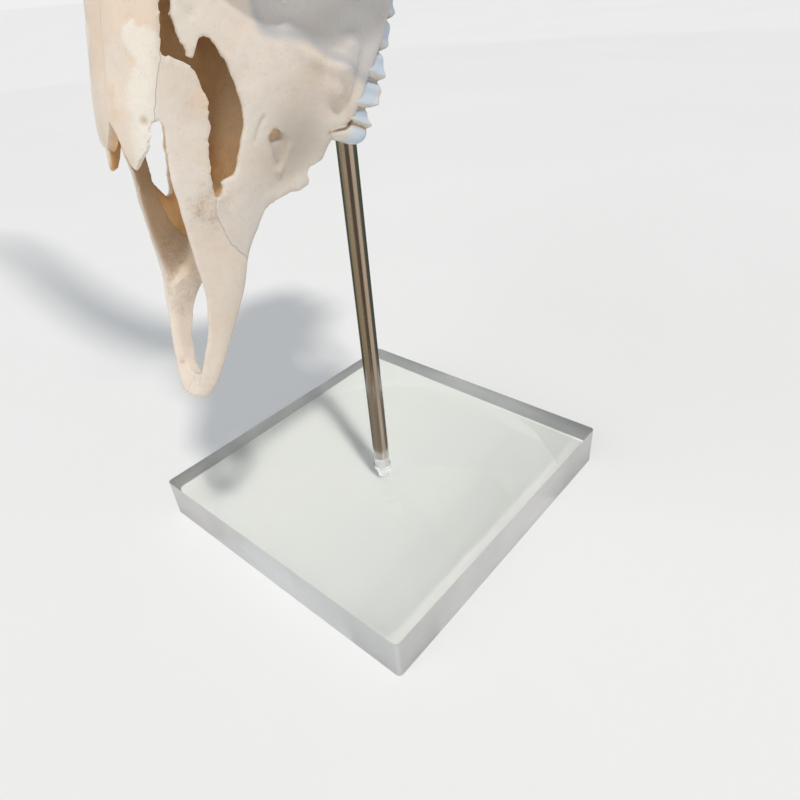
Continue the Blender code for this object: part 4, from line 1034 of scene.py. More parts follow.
def inside_mask(points):
    """1 on the skin of the nasal space, which is painted brown, partly stain and partly painted shade, and
    0 outside.
    """
    x, y, z = np.abs(points[:, 0]), points[:, 1], points[:, 2]
    narrow = flow(SHOULDER_HALF, y)
    low, shoulder, roof = flow(EDGE_Z, y), flow(SHOULDER_Z, y), flow(ROOF_Z, y)
    wall = wall_half(y, z) - x
    rise = np.maximum(z - shoulder, 0) / np.maximum(roof - shoulder, 1)
    dome = 1 - np.sqrt((x / narrow) ** 2 + rise ** 2)
    depth = np.where(z > shoulder, dome * np.minimum(narrow, roof - shoulder + 2), wall)
    floor = np.where(y < PALATE_START, low, PALATE_Z) + 1.6
    along = ease(22, 42, y) * (1 - ease(126, 130, y))
    return ease(0.4, 0.85, depth / wall_thick(y, z)) * ease(-0.6, 0.8, z - floor) * along


def loose_parts(mesh):
    """A number for each point, the same over each closed surface of the mesh."""
    count = len(mesh.vertices)
    edges = np.zeros(len(mesh.edges) * 2, np.int64)
    mesh.edges.foreach_get("vertices", edges)
    edges = edges.reshape(-1, 2)
    label = np.arange(count)
    while True:
        low = np.minimum(label[edges[:, 0]], label[edges[:, 1]])
        new = label.copy()
        np.minimum.at(new, edges[:, 0], low)
        np.minimum.at(new, edges[:, 1], low)
        new = new[new]
        if (new == label).all():
            return label
        label = new


def part_bones(skull, seeds):
    """Each bone as its own object: the loose part that lies nearest to the bone's seed point."""
    mesh = skull.data
    label = loose_parts(mesh)
    points = coordinates(mesh)
    mesh.calc_loop_triangles()
    corners = np.zeros(len(mesh.loop_triangles) * 3, np.int64)
    mesh.loop_triangles.foreach_get("vertices", corners)
    corners = corners.reshape(-1, 3)
    size = np.bincount(label, minlength=len(label))
    big = size[label] > SCRAP_POINTS
    bones = {}
    for name, seed in seeds.items():
        away = np.linalg.norm(points - np.array(seed), axis=1)
        away[~big] = 1e9
        mine = label == label[int(np.argmin(away))]
        number = np.cumsum(mine) - 1
        faces = number[corners[mine[corners[:, 0]]]]
        made = bpy.data.meshes.new(name)
        made.from_pydata((points[mine] * MM).tolist(), [], faces.tolist())
        bones[name] = placed(name, made)
    bpy.data.objects.remove(skull)
    return bones


# Teeth and horns


def wave(t, height, place, width):
    """The height of a soft wave at t."""
    return height * math.exp(-((t - place) / width) ** 2)


def tooth_lobe(number, side):
    """One lobe of a cheek tooth: hollow on its cheek side behind an upright rib at its front, and round on
    its tongue side."""
    front, width, peak = TOOTH_FRONTS[number], TOOTH_WIDTHS[number], TOOTH_PEAKS[number]
    tip, reach = TOOTH_TIPS[number], TOOTH_REACH[number]
    rear = (TOOTH_FRONTS + [TOOTH_END])[number + 1] - TOOTH_GAP
    neck = flow(EDGE_HALF, (front + rear) / 2)
    lean, rear_lean = (TOOTH_LEANS + [0.0])[number:number + 2]
    rings = []
    for z in ROOT_LEVELS + tuple(tip + above for above in TIP_STEPS):
        outer = np.interp(z, [tip, 1.0, 5.0], [reach, neck - 0.9, neck - 3.2])
        outer -= 0.9 * ease(tip + 1.2, tip, z) ** 2
        deep = ease(1.8, -1.5, z)
        low = ease(-1.0, tip, z)
        share = min(1.0, (z - tip) / -tip)
        ahead = front - lean * share
        long = rear - rear_lean * share - ahead
        ring = []
        for t in np.linspace(0, 1, 25):
            lip = wave(t, *LOBE_RIB) - 1.6 * (max(0.0, 0.2 - t) / 0.2) ** 2
            waist = wave(t, *LOBE_WAIST) - wave(t, *LOBE_REAR)
            slope = -0.5 * t - 1.1 * ease(0.8, 1.0, t)
            drop = CUSP_SLOPE * abs(t - peak) ** 1.7 * low
            ring.append((outer + deep * (lip - waist + slope), ahead + t * long, z + drop))
        for t in np.linspace(0.06, 0.94, 12):
            y = ahead + long - 0.3 + t * (0.6 - long)
            drop = (1.0 + 1.8 * math.sin(math.pi * t) ** 0.6) * low
            ring.append((outer - 1.4 - (width - 1.4) * math.sin(math.pi * t) ** 0.55, y, z + drop))
        rings.append([(side * x, y, z) for x, y, z in ring])
    return loft("tooth", rings)


def first_tooth(side):
    """The small front cheek tooth: a plain round peg, wider at its crown and leaning back."""
    rings = []
    for z, x, y, wide, long in FIRST_TOOTH:
        rings.append([(side * (x + wide * math.cos(t)), y + long * math.sin(t), z) for t in turns(28)])
    return loft("tooth", rings)


def teeth(name, side):
    """The cheek teeth of one side, melted together finely, with their chewing faces worn hollow."""
    lobes = [first_tooth(side)] + [tooth_lobe(k, side) for k in range(1, len(TOOTH_FRONTS))]
    row = joined(name, lobes)
    melted(row, TOOTH_VOXEL, 2, 0.4)
    mesh = row.data
    points, out = coordinates(mesh), directions(mesh)
    x, y, z = np.abs(points[:, 0]), points[:, 1], points[:, 2]
    fronts = np.array(TOOTH_FRONTS + [TOOTH_END])
    upright = y + np.interp(y, TOOTH_FRONTS, TOOTH_LEANS) * np.clip(1 + z / 6.5, 0, 1)
    lobe = np.clip(np.searchsorted(fronts, upright) - 1, 0, len(TOOTH_FRONTS) - 1)
    middle = (fronts[lobe] + fronts[lobe + 1]) / 2
    half = (fronts[lobe + 1] - fronts[lobe]) / 2
    reach = flow(EDGE_HALF, middle) - np.array(TOOTH_WIDTHS)[lobe] * 0.52
    bend = np.abs(x - reach + 1.6 * ((upright - middle) / half) ** 2)
    moon = np.exp(-(bend / 0.8) ** 2) * ease(0.4, 0.9, -out[:, 2]) * (lobe > 0)
    moon *= 1 - ease(0.6, 0.95, np.abs(upright - middle) / half)
    slit = groove_share(points, *ROOT_SLIT)
    move = -1.1 * moon - 0.5 * slit + 0.05 * noise(points, 1.4, 7)
    set_coordinates(mesh, points + out * move[:, None])
    behind = np.where(lobe > 0, upright - fronts[lobe] - 0.1, 3.0)
    ahead = fronts[lobe + 1] - upright
    cheek = ease(-3.5, -0.5, x - flow(EDGE_HALF, y))
    write_mask(mesh, "groove", np.clip(moon + slit, 0, 1))
    # How far down the crown: the material paints the crown bluish by it as skylit shade, and its worn tips
    # cream
    height = -z - 0.35 * noise(points, 2.2, 8)
    write_mask(mesh, "height", np.where(lobe > 0, height, 0.5 * height - 1.0))
    # Where painted shade darkens the recess between lobes
    between = (1 - ease(0.0, 1.5, ahead)) * cheek + (1 - ease(0.1, 0.5, behind)) * (1 - cheek)
    write_mask(mesh, "between", between)
    write_mask(mesh, "ledge", ease(0.15, 0.5, -out[:, 1]) * (1 - ease(1.1, 1.7, behind)) * cheek)
    return row


def horn(name, side):
    """The horn's sheath, with its ridged rings, fine lengthwise grooves and smooth tip."""
    start = HORN_START / HORN_LENGTH
    line, shares = horn_line(side, start, 1.0, HORN_STEPS)
    radii = HORN_RADIUS * flow(HORN_TAPER, shares)
    turn = turns(HORN_SIDES)
    ahead = np.gradient(line, axis=0)
    ahead = ahead / np.linalg.norm(ahead, axis=1)[:, None]
    across = np.cross(ahead, (0, 1, 0))
    across = across / np.linalg.norm(across, axis=1)[:, None]
    rise = np.cross(across, ahead)
    circle = np.column_stack([np.cos(turn), np.sin(turn)])
    where, around = np.meshgrid(shares, turn, indexing="ij")
    round_about = np.column_stack([np.cos(around.ravel()), np.sin(around.ravel()), where.ravel()])
    drift = RING_DRIFT * noise(round_about * (2, 2, 60 * side), 1.7, 21).reshape(where.shape)
    place = (where - start) / (RING_SHARE - start) * RING_COUNT + drift
    fade = (1 - ease(*RINGS_FADE, where)) * ease(start, start + 0.02, where)
    ridge = np.exp(-((place % 1 - 0.5) / RING_WIDTH) ** 2)
    front = 0.7 - 0.3 * np.sin(around)
    minor = 0.12 * np.cos(6 * math.pi * place)
    ring = fade * (ridge * front + minor * 0.4)
    grain = round_about * GRAIN
    groove = noise(grain, 0.9, 22).reshape(where.shape) * (0.12 + 0.12 * fade)
    reach = radii[:, None] * (1 + RING_HEIGHT * (ring - 0.25 * fade)) + groove * ease(1.0, 0.9, where)
    spokes = (HORN_OVAL * circle[None, :, 0, None] * across[:, None, :]
              + circle[None, :, 1, None] * rise[:, None, :])
    points = line[:, None, :] + reach[:, :, None] * spokes
    inner = line[0] + (points[0] - line[0]) * HORN_MOUTH
    deep = inner + ahead[0] * HORN_HOLLOW
    sides = HORN_SIDES
    item = loft(name, [deep, inner, *points])
    write_mask(item.data, "ring", np.concatenate([np.zeros(2 * sides), (ridge * fade).ravel()]))
    write_mask(item.data, "along", np.concatenate([np.zeros(2 * sides), where.ravel()]))
    stretched = item.data.attributes.new("grain", "FLOAT_VECTOR", "POINT")
    flat = np.vstack([np.zeros((2 * sides, 3)), grain])
    stretched.data.foreach_set("vector", np.ascontiguousarray(flat, np.float32).ravel())
    return item


# Stand


def turned(name, profile, sides=ROUND_SIDES):
    """A closed body turned about Z from (radius, height) points, bottom to top, on the rod's axis."""
    return loft(name, [[(ROD_X + radius * math.cos(t), ROD_Y + radius * math.sin(t), height)
                        for t in turns(sides)] for radius, height in profile])


def block(name):
    """The clear block, with rounded upright corners, fine polished edges and the hole for the stud."""
    outline = []
    for cx, cy, first in ((1, 1, 0), (-1, 1, 90), (-1, -1, 180), (1, -1, 270)):
        for angle in np.radians(np.linspace(first, first + 90, 9)):
            outline.append((cx * (BLOCK_X / 2 - BLOCK_CORNER) + BLOCK_CORNER * math.cos(angle),
                            cy * (BLOCK_Y / 2 - BLOCK_CORNER) + BLOCK_CORNER * math.sin(angle)))
    item = prism(name, outline, 0, BLOCK_THICK, "z")
    edge = item.modifiers.new("edges", "BEVEL")
    edge.width = BLOCK_EDGE * MM
    edge.segments = 2
    edge.angle_limit = math.radians(60)
    apply_modifiers(item)
    wide, slim, step = ROD_RADIUS + GAP, STUD_RADIUS + GAP, SLEEVE_FOOT - GAP
    hole = turned("hole", [(slim, STUD_FOOT - GAP), (slim, step), (wide, step), (wide, BLOCK_THICK + 5)])
    boolean(item, [hole], "DIFFERENCE")
    return item


def rod(name):
    """The rod, with the thinner stud that screws into the block."""
    foot = SLEEVE_TOP + GAP
    stud = [(STUD_RADIUS - 0.3, STUD_FOOT)]
    for k in range(THREAD_TURNS):
        height = STUD_FOOT + 0.5 + k * THREAD_PITCH
        stud += [(STUD_RADIUS, height), (STUD_RADIUS - THREAD_DEPTH, height + 0.5)]
    stud += [(STUD_RADIUS, foot - 0.2), (STUD_RADIUS, foot)]
    shaft = [(ROD_RADIUS - 0.2, foot), (ROD_RADIUS, foot + 0.2), (ROD_RADIUS, foot + 110)]
    shaft += [(ROD_RADIUS, ROD_TOP - 0.6), (ROD_RADIUS - 0.6, ROD_TOP)]
    return turned(name, stud + shaft)


def sleeve(name):
    """The white sleeve round the stud, at the rod's foot."""
    soft, hole = SLEEVE_SOFT, STUD_RADIUS + 0.1
    item = turned(name, [(ROD_RADIUS - soft, SLEEVE_FOOT), (ROD_RADIUS, SLEEVE_FOOT + soft),
                         (ROD_RADIUS, SLEEVE_TOP - soft), (ROD_RADIUS - soft, SLEEVE_TOP)])
    bore = turned("bore", [(hole, SLEEVE_FOOT - 5), (hole, SLEEVE_TOP + 5)])
    boolean(item, [bore], "DIFFERENCE")
    return item


# Materials


class Nodes:
    """A short way to write a material's nodes: each call makes one and joins it up."""

    def __init__(self, name):
        self.material = bpy.data.materials.new(name)
        self.material.use_nodes = True
        self.tree = self.material.node_tree
        self.shader = self.tree.nodes["Principled BSDF"]
        self.output = self.tree.nodes["Material Output"]
        self.place = self.tree.nodes.new("ShaderNodeTexCoord").outputs["Object"]

    def put(self, value, socket):
        """Joins another node's output to the socket, or sets a plain value on it."""
        if isinstance(value, bpy.types.NodeSocket):
            self.tree.links.new(value, socket)
        else:
            socket.default_value = value

    def node(self, kind, inputs, **settings):
        """A new node with its settings and its inputs, which are given by name or number."""
        node = self.tree.nodes.new("ShaderNode" + kind)
        for name, value in settings.items():
            setattr(node, name, value)
        for name, value in inputs.items():
            self.put(value, node.inputs[name])
        return node

    def surface(self, inputs):
        """Sets or joins the shader's own inputs, and gives the finished material."""
        for name, value in inputs.items():
            self.put(value, self.shader.inputs[name])
        return self.material

    def noise(self, scale, detail=4.0, rough=0.55, place=None, stretch=None):
        source = self.place if place is None else place
        if stretch is not None:
            source = self.node("Mapping", {"Scale": stretch, "Vector": source}).outputs["Vector"]
        inputs = {"Scale": scale, "Detail": detail, "Roughness": rough, "Vector": source}
        return self.node("TexNoise", inputs).outputs["Fac"]

    def cells(self, scale):
        return self.node("TexVoronoi", {"Scale": scale, "Vector": self.place}).outputs["Distance"]

    def mask(self, name, output="Fac"):
        """What was written at each point of the mesh under this name."""
        return self.node("Attribute", {}, attribute_name=name).outputs[output]

    def span(self, value, low, high, to_low=0.0, to_high=1.0):
        """A smooth step from one value to another, while the input runs from low to high."""
        inputs = {"Value": value, "From Min": low, "From Max": high, "To Min": to_low, "To Max": to_high}
        return self.node("MapRange", inputs, interpolation_type="SMOOTHSTEP").outputs["Result"]

    def maths(self, operation, first, second):
        return self.node("Math", {0: first, 1: second}, operation=operation).outputs[0]

    def times(self, first, second):
        return self.maths("MULTIPLY", first, second)

    def blend(self, share, first, second):
        """One colour laid over another by its share: each is a colour or another node's output."""
        node = self.node("Mix", {}, data_type="RGBA")
        self.put(share, node.inputs["Factor"])
        for value, socket in ((first, node.inputs[6]), (second, node.inputs[7])):
            self.put((*value, 1.0) if isinstance(value, tuple) else value, socket)
        return node.outputs[2]

    def bump(self, height, distance, strength=1.0, normal=None):
        """Fine relief, whose depth is given in millimetres, over another relief or none."""
        inputs = {"Distance": distance * MM, "Strength": strength, "Height": height}
        if normal is not None:
            inputs["Normal"] = normal
        return self.node("Bump", inputs).outputs["Normal"]


def bone_material():
    """Sun-bleached bone: cream with tan and pink clouds, brown inside the nose, fine pores and streaks,
    painted shade and light.
    """
    n = Nodes("bone")
    cloud = n.span(n.noise(45, 3), 0.35, 0.65)
    colour = n.blend(cloud, (0.79, 0.72, 0.63), (0.85, 0.80, 0.73))
    tan = n.span(n.noise(85, 5, 0.6), 0.52, 0.72)
    colour = n.blend(n.times(tan, 0.4), colour, (0.72, 0.57, 0.43))
    colour = n.blend(n.times(n.mask("pink"), 0.6), colour, (0.76, 0.56, 0.42))
    colour = n.blend(n.mask("warm"), colour, (0.80, 0.55, 0.33))
    # Painted shade, cool and bluish, where the cheek bone's shadow falls and in the scoop
    colour = n.blend(n.times(n.mask("painted_cheek_shade"), 0.9), colour, (0.43, 0.455, 0.50))
    # Painted shade, drab: the hollow before the teeth and the right bar's inner face
    colour = n.blend(n.mask("painted_drab_shade"), colour, (0.45, 0.395, 0.335))
    pale = n.span(n.noise(110, 5, 0.6), 0.35, 0.6, 0.35, 0.8)
    colour = n.blend(n.times(n.mask("pale"), pale), colour, (0.85, 0.79, 0.68))
    colour = n.blend(n.mask("slit"), colour, (0.46, 0.22, 0.11))
    # The nose's inside: brown partly as stain and partly as painted shade, painted paler deep in as painted
    # light
    stain = n.span(n.noise(140, 4, 0.6), 0.3, 0.75)
    brown = n.blend(stain, (0.74, 0.46, 0.21), (0.93, 0.64, 0.34))
    brown = n.blend(n.mask("deep"), brown, (0.97, 0.75, 0.50))
    colour = n.blend(n.mask("inside"), colour, brown)
    dirt = n.span(n.noise(380, 5, 0.7), 0.45, 0.75)
    dirt = n.times(dirt, n.maths("ADD", n.times(n.mask("rough"), 0.75), 0.02))
    colour = n.blend(dirt, colour, (0.55, 0.42, 0.29))
    pores = n.span(n.cells(900), 0.0, 0.32)
    colour = n.blend(n.times(n.maths("SUBTRACT", 1.0, pores), 0.16), colour, (0.45, 0.33, 0.22))
    relief = n.bump(n.noise(1400, 3, 0.6), 0.06, 0.5)
    relief = n.bump(pores, 0.08, 0.35, relief)
    relief = n.bump(n.noise(330, 5, 0.6), 0.22, 0.5, relief)
    ragged = n.times(n.noise(700, 5, 0.7), n.mask("rough"))
    return n.surface({
        "Base Color": colour,
        "Roughness": n.span(n.noise(160, 4), 0.3, 0.7, 0.46, 0.68),
        "Specular IOR Level": 0.35,
        "Subsurface Weight": 0.12,
        "Subsurface Radius": (1.0, 0.6, 0.35),
        "Subsurface Scale": 0.0015,
        "Normal": n.bump(ragged, 0.9, 0.8, relief),
    })


def enamel_material():
    """Tooth enamel: bluish white, its blue painted skylit shade, cream at the worn edges, brown at the
    root, and brown between the lobes as painted shade.
    """
    n = Nodes("enamel")
    height = n.mask("height")
    # Painted shade: the crown bluish as in skylight, cream towards the root
    colour = n.blend(n.span(height, -1.0, 0.8), (0.78, 0.71, 0.62), (0.60, 0.68, 0.78))
    colour = n.blend(n.span(height, 5.4, 7.2), colour, (0.80, 0.72, 0.60))
    cloud = n.span(n.noise(260, 4), 0.45, 0.75)
    colour = n.blend(n.times(cloud, 0.35), colour, (0.80, 0.76, 0.68))
    colour = n.blend(n.times(n.mask("ledge"), 0.7), colour, (0.80, 0.68, 0.52))
    # Painted shade: brown in the recess between the lobes
    colour = n.blend(n.times(n.mask("between"), 0.9), colour, (0.50, 0.37, 0.22))
    colour = n.blend(n.mask("groove"), colour, (0.22, 0.12, 0.05))
    streak = n.noise(420, 4, 0.6, stretch=(1.0, 1.0, 0.25))
    return n.surface({
        "Base Color": colour,
        "Roughness": n.span(n.noise(300, 3), 0.3, 0.7, 0.22, 0.42),
        "Subsurface Weight": 0.1,
        "Subsurface Radius": (0.7, 0.7, 0.8),
        "Subsurface Scale": 0.001,
        "Normal": n.bump(streak, 0.12, 0.5),
    })


def horn_material():
    """Dark ridged horn: near black in the hollows, brown and worn on the ridges, with fine long fibres."""
    n = Nodes("horn")
    fibre = n.noise(2.6, 6, 0.65, n.mask("grain", "Vector"))
    colour = n.blend(n.span(fibre, 0.3, 0.7), (0.020, 0.016, 0.013), (0.060, 0.044, 0.032))
    worn = n.times(n.span(n.mask("ring"), 0.45, 1.0), n.span(n.noise(60, 4), 0.35, 0.65))
    colour = n.blend(n.times(worn, 0.7), colour, (0.17, 0.125, 0.09))
    base = n.span(n.mask("along"), 0.16, 0.03)
    colour = n.blend(n.times(base, 0.45), colour, (0.15, 0.11, 0.075))
    dust = n.span(n.noise(900, 3, 0.7), 0.6, 0.8)
    colour = n.blend(n.times(dust, 0.3), colour, (0.24, 0.20, 0.155))
    relief = n.bump(fibre, 0.5, 0.55)
    return n.surface({
        "Base Color": colour,
        "Roughness": n.span(fibre, 0.3, 0.7, 0.36, 0.58),
        "Specular IOR Level": 0.45,
        "Normal": n.bump(n.noise(1100, 4, 0.6), 0.1, 0.4, relief),
    })


def steel_material():
    """Drawn stainless steel, with faint lines along the rod."""
    n = Nodes("steel")
    lines = n.noise(900, 4, 0.6, stretch=(1.0, 1.0, 0.012))
    return n.surface({
        "Base Color": n.blend(n.span(lines, 0.3, 0.7), (0.50, 0.47, 0.43), (0.66, 0.63, 0.59)),
        "Metallic": 1.0,
        "Roughness": n.span(n.noise(70, 3), 0.3, 0.7, 0.14, 0.24),
        "Normal": n.bump(lines, 0.02, 0.5),
    })


def sleeve_material():
    """White plastic, slightly cloudy."""
    n = Nodes("sleeve")
    cloud = n.noise(900, 4)
    return n.surface({
        "Base Color": n.blend(n.span(cloud, 0.35, 0.65), (0.78, 0.77, 0.75), (0.88, 0.87, 0.85)),
        "Roughness": n.span(cloud, 0.3, 0.7, 0.35, 0.5),
        "Normal": n.bump(cloud, 0.05, 0.5),
    })


def lets_shadow_rays_through(n, tint):
    """Lets lamps shine through the clear plastic, so that what is under it isn't black."""
    path = n.node("LightPath", {})
    clear = n.node("BsdfTransparent", {"Color": (*tint, 1.0)})
    mix = n.node("MixShader", {"Fac": path.outputs["Is Shadow Ray"], 1: n.shader.outputs["BSDF"],
                               2: clear.outputs["BSDF"]})
    n.put(mix.outputs["Shader"], n.output.inputs["Surface"])


def clear_material():
    """The polished faces of the block, with a few hairline scratches."""
    n = Nodes("acrylic clear")
    hair = n.noise(55, 6, 0.75, stretch=(1.0, 14.0, 1.0))
    lets_shadow_rays_through(n, (0.46, 0.47, 0.465))
    return n.surface({
        "Base Color": (0.94, 0.955, 0.945, 1.0),
        "Transmission Weight": 1.0,
        "IOR": ACRYLIC_IOR,
        "Roughness": n.span(hair, 0.66, 0.74, 0.01, 0.09),
        "Normal": n.bump(n.span(hair, 0.68, 0.72), 0.01, 0.4),
    })


def frosted_material():
    """The sawn sides of the block: pale greyish and dull, with faint saw lines."""
    n = Nodes("acrylic frosted")
    lines = n.noise(700, 4, 0.6, stretch=(0.12, 0.12, 1.0))
    lets_shadow_rays_through(n, (0.8, 0.8, 0.8))
    return n.surface({
        "Base Color": n.blend(n.span(n.noise(40, 3), 0.3, 0.7), (0.62, 0.625, 0.63), (0.69, 0.695, 0.70)),
        "Transmission Weight": 0.12,
        "IOR": ACRYLIC_IOR,
        "Roughness": n.span(lines, 0.3, 0.7, 0.34, 0.5),
        "Normal": n.bump(lines, 0.03, 0.4),
    })


def floor_material():
    n = Nodes("floor")
    colour = n.blend(n.span(n.noise(3, 3), 0.3, 0.7), (0.895, 0.895, 0.895), (0.91, 0.91, 0.91))
    return n.surface({"Base Color": colour, "Roughness": 0.9})


def card_material(name, colour):
    return Nodes(name).surface({"Base Color": (*colour, 1.0), "Roughness": 1.0, "Specular IOR Level": 0.0})


# Putting it together


def skull_pose():
    """From the skull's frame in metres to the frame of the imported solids."""
    cosine, sine = math.cos(TILT), math.sin(TILT)
    turn = Matrix(((0, cosine, -sine), (-1, 0, 0), (0, sine, cosine)))
    place = Vector((ROD_X, ROD_Y, HELD_HEIGHT)) - turn @ Vector((0, HELD_Y, HELD_Z))
    return Matrix.Translation(place * MM) @ turn.to_4x4()


def all_seeds():
    """The seed point of every bone, the right ones as mirror images."""
    seeds = {}
    for name, place in SEEDS.items():
        seeds[name] = place
        if name.endswith("_left"):
            seeds[name.replace("_left", "_right")] = flipped([place], -1)[0]
    return seeds


def flaked(points):
    """1 on the pale patch near the tip of a nasal bone, whose edge is torn."""
    x, y = np.abs(points[:, 0]), points[:, 1]
    torn = noise(points, 1.9, 51) + 0.6 * noise(points, 0.8, 52)
    side = x - flow(PATCH_SIDE, y) + 0.4 * torn
    soft = 0.5 + 1.8 * (1 - ease(64, 70, y))
    return ease(-1, 1, side / soft) * ease(-0.4, 0.4, PATCH_REAR + 1.1 * torn - y) * (y < 82)


def nasal_masks(masks, points, _):
    """The pale patch, the orange round it, and the underside of the right bone's leaf, painted brown as
    shade.
    """
    x, y, z = points.T
    masks["pale"] = flaked(points)
    masks["pink"] += 0.25 - 0.6 * masks["pale"]
    masks["warm"] += 0.55 * blob(points, *NASAL_SPOT) * ease(-0.2, 0.5, noise(points, 2.5, 32))
    clouds = 0.12 + 0.22 * ease(62, 72, y) * ease(-0.6, 0.5, noise(points, 6, 35))
    masks["warm"] += clouds * (1 - masks["pale"])
    # Painted shade: the underside of the right bone's leaf takes the brown of the nose's inside
    masks["inside"] = np.maximum(masks["inside"], (y < 61) * ease(39.2, 38.6, z) * (x < 0))


def premaxilla_masks(masks, *_):
    masks["pink"] += 0.15


def right_bar_masks(masks, points, mesh):
    """The dirty inner face of the right front jaw bone, with drab painted shade towards its back."""
    _, y, z = points.T
    inward = directions(mesh)[:, 0]
    low = ease(22, 18, z - 0.12 * (y - 40) + noise(points, 4, 36))
    masks["rough"] += 0.9 * ease(0.2, 0.8, inward) * ease(16, 24, y) * low
    # Painted shade, drab, on the inward face towards the back
    masks["painted_drab_shade"] += 0.6 * ease(0.0, 0.5, inward) * ease(30, 40, y)
    masks["inside"] = 0.35 * masks["inside"]


def maxilla_masks(masks, points, _):
    """Painted shade on the cheek, greyish and drab, and the pit's brown, partly stain and partly painted
    shade.
    """
    _, y, z = points.T
    outside = 1 - masks["inside"]
    # Painted shade: where the cheek bone's shadow falls, fainter low on the front of the face, and in the
    # scoop
    behind = y - flow(PAINTED_SHADE_FRONT, z)
    shade = ease(-1.5, 1.0, behind) * (0.85 - 0.35 * ease(0.8, 3.4, behind)) * (1 - ease(27, 33, z))
    shade += 0.2 * (1 - ease(52, 62, y)) * ease(22, 14, z)
    scoop = patch(y, z, *PAINTED_SCOOP_SHADE) * outside
    masks["painted_cheek_shade"] = np.maximum(shade * outside, 0.5 * ease(0.3, 0.8, scoop))
    # Painted shade, drab, in the hollow before the teeth
    masks["painted_drab_shade"] += 0.8 * patch(y, z, *PAINTED_HOLLOW_SHADE) * outside
    # The pit: brown, darker in its middle, partly stain and partly painted shade in the hole
    pit = np.maximum(blob(points, *PIT), blob(points, -PIT[0], *PIT[1:]))
    masks["inside"] = np.maximum(masks["inside"], 0.95 * ease(0.35, 0.8, pit))
    masks["slit"] += 0.3 * ease(0.5, 0.9, pit)


def braincase_masks(masks, points, _):
    _, y, z = points.T
    masks["rough"] += 0.35 * ease(214, 232, y)
    stained = 0.5 * ease(0.3, 0.9, noise(points, 14, 34)) * (1 - ease(20, 30, z))
    masks["inside"] = np.maximum(masks["inside"], stained)


def colour_masks(name, mesh):
    """Writes how far each point of a bone is brown, rough, pink, orange or pale, and its painted shade,
    greyish and drab.
    """
    points = coordinates(mesh)
    masks = {mask: np.zeros(len(points)) for mask in MASKS}
    masks["inside"] = inside_mask(points)
    masks["rough"] += 0.15
    masks["pink"] = 0.25 + 0.25 * noise(points, 9, 31)
    for path, radius, _, brown in GROOVES:
        masks["slit"] += brown * groove_share(points, path, radius)
    # Stains, and dark dots painted into small dents and hollows as their shade
    for bone, mask, spot, strength in STAINS_AND_SHADED_DOTS:
        if name.startswith(bone):
            masks[mask] += strength * blob(points, *spot)
    for bone, add in (("nasal", nasal_masks), ("premaxilla", premaxilla_masks),
                      ("premaxilla_right", right_bar_masks), ("maxilla", maxilla_masks),
                      ("braincase", braincase_masks)):
        if name.startswith(bone):
            add(masks, points, mesh)
    # Painted light: deep in the nose its brown is painted paler
    masks["deep"] = ease(56, 76, points[:, 1]) * masks["inside"]
    for mask in MASKS:
        write_mask(mesh, mask, np.clip(masks[mask], 0, 1))


def dress(item, node, materials, angle=40):
    """Finishes one piece: its materials, its soft shading, and the node that it stands for."""
    item.data.materials.clear()
    for made in materials:
        item.data.materials.append(made)
    item.data.shade_smooth()
    item.data.set_sharp_from_angle(angle=math.radians(angle))
    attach(item, "root")
    if node:
        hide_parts(node)


def whole_skull():
    """The skull as one closed body with its fine shape, cut through along the seams."""
    skull = joined("skull", [snout(), frontal_roof()] + orbit_rims() + cheeks() + cranium()
                   + [horn_core(side) for side in SIDES])
    melted(skull, FIRST_VOXEL, 8)
    boolean(skull, openings(), "DIFFERENCE")
    melted(skull, VOXEL, 2, 0.4)
    sculpt(skull.data)
    boolean(skull, sutures() + [rod_in_skull()], "DIFFERENCE")
    return skull


def finish_nasal_bones(bones):
    """Gives the nasal bones their torn front ends, and the right one its thin leaf."""
    for name, outline, seed in (("nasal_left", LEFT_NASAL_TIP, 41), ("nasal_right", RIGHT_NASAL_TIP, 42)):
        edge = as_points(jagged(outline[2:12], NASAL_TIP_JAG, seed=seed))
        boolean(bones[name], [prism("tip", outline[:2] + edge + outline[12:], 30, 60, "z")], "DIFFERENCE")
    leaf = tube("leaf", *NASAL_LEAF, up=LEAF_UP)
    bones["nasal_right"] = joined("nasal_right", [bones["nasal_right"], leaf])


def make_skull():
    pose = skull_pose()
    bone, enamel, keratin = bone_material(), enamel_material(), horn_material()
    bones = part_bones(whole_skull(), all_seeds())
    finish_nasal_bones(bones)
    for name, item in bones.items():
        item.name = "bone_" + name
        colour_masks(name, item.data)
        item.data.transform(pose)
        dress(item, name, [bone])
    for name, side in zip(("left", "right"), SIDES):
        row = teeth("teeth_" + name, side)
        row.data.transform(pose)
        dress(row, "", [enamel], 60)
        sheath = horn("horn_sheath_" + name, side)
        sheath.data.transform(pose)
        dress(sheath, "horn_" + name, [keratin], 60)


def make_stand():
    """The block with its sawn sides dull, the rod and its sleeve."""
    item = block("clear_block")
    dress(item, "base_block", [clear_material(), frosted_material()], 30)
    for face in item.data.polygons:
        x, y = abs(face.center[0]) / MM, abs(face.center[1]) / MM
        side = x > BLOCK_X / 2 - 0.2 or y > BLOCK_Y / 2 - 0.2
        corner = x > BLOCK_X / 2 - BLOCK_CORNER and y > BLOCK_Y / 2 - BLOCK_CORNER
        if abs(face.normal[2]) < 0.3 and (side or corner):
            face.material_index = 1
    dress(rod("steel_rod"), "rod", [steel_material()], 30)
    dress(sleeve("white_sleeve"), "rod_sleeve", [sleeve_material()], 30)


def look(eye, target, up=(0, 0, 1)):
    """The turn of a lamp or camera that looks from one point to another."""
    away = (Vector(eye) - Vector(target)).normalized()
    right = Vector(up).cross(away).normalized()
    return Matrix((right, away.cross(right), away)).transposed()


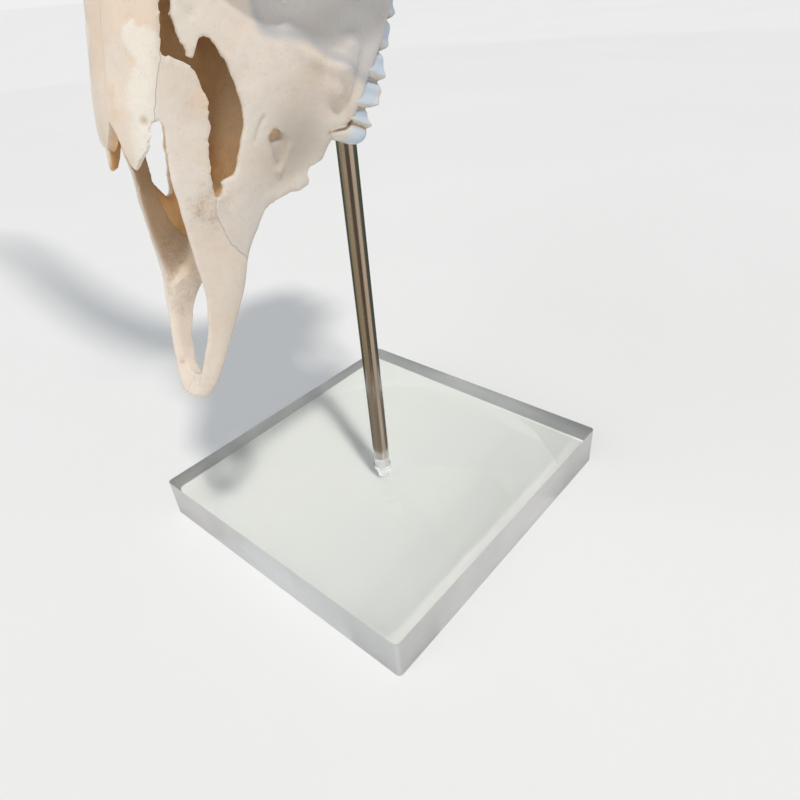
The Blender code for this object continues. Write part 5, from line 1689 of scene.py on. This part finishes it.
def reflection_cards():
    """Coloured cards on the floor round the stand, which only mirror-like reflections see: they give the
    rod the long brown and tan streaks that the ground gives it outdoors."""
    cards = [(first, last, colour, *FAR_CARD) for first, last, colour, _ in CARDS]
    cards += [(first, last, colour, *NEAR_CARD) for first, last, _, colour in CARDS]
    for k, (first, last, colour, inner, outer, height) in enumerate(cards):
        turn = np.radians(np.linspace(first, last, 13))
        points = [(ROD_X + reach * math.cos(t), ROD_Y + reach * math.sin(t), height)
                  for reach in (inner, outer) for t in turn]
        count = len(turn)
        faces = [(i, i + 1, count + i + 1, count + i) for i in range(count - 1)]
        card = new_object("card_%d" % k, points, faces)
        card.data.materials.append(card_material("card %d" % k, colour))
        card.visible_camera = card.visible_diffuse = card.visible_transmission = card.visible_shadow = False


def make_floor():
    half = FLOOR_HALF / MM
    corners = [(x * half, y * half, FLOOR_Z) for x, y in ((-1, -1), (1, -1), (1, 1), (-1, 1))]
    floor = new_object("floor", corners, [(0, 1, 2, 3)])
    floor.data.materials.append(floor_material())


def make_sky():
    """An even sky, and the pale backdrop that the camera sees in its place."""
    world = bpy.data.worlds.new("studio")
    world.use_nodes = True
    tree = world.node_tree
    sky, seen = tree.nodes["Background"], tree.nodes.new("ShaderNodeBackground")
    for node, colour, strength in ((sky, SKY_COLOUR, SKY), (seen, BACKDROP_COLOUR, BACKDROP)):
        node.inputs["Color"].default_value = colour
        node.inputs["Strength"].default_value = strength
    path = tree.nodes.new("ShaderNodeLightPath")
    either = tree.nodes.new("ShaderNodeMixShader")
    tree.links.new(path.outputs["Is Camera Ray"], either.inputs["Fac"])
    tree.links.new(sky.outputs["Background"], either.inputs[1])
    tree.links.new(seen.outputs["Background"], either.inputs[2])
    tree.links.new(either.outputs["Shader"], tree.nodes["World Output"].inputs["Surface"])
    bpy.context.scene.world = world


def make_lamps():
    for name, place, strength, spread, colour in LAMPS:
        data = bpy.data.lights.new(name, "SUN")
        data.energy = strength
        data.angle = math.radians(spread)
        data.color = colour
        placed(name, data).matrix_world = look(place, (0, 0, 0)).to_4x4()


def make_camera():
    """The camera, which stands where the photographer stood."""
    turn = Vector(CAMERA_TURN)
    right, down, ahead = [Vector(row) for row in Matrix.Rotation(turn.length, 3, turn.normalized())]
    data = bpy.data.cameras.new("camera")
    data.sensor_width = FILM_WIDTH
    data.lens = FILM_WIDTH * FOCAL_PIXELS / PHOTO_SIDE
    data.clip_start = NEAREST_SEEN
    camera = placed("camera", data)
    axes = Matrix((right, -down, -ahead)).transposed().to_4x4()
    camera.matrix_world = Matrix.Translation(Vector(CAMERA_PLACE)) @ axes
    bpy.context.scene.camera = camera


make_skull()
make_stand()
make_floor()
reflection_cards()
make_sky()
make_lamps()
make_camera()
bpy.context.scene.view_settings.view_transform = "Standard"
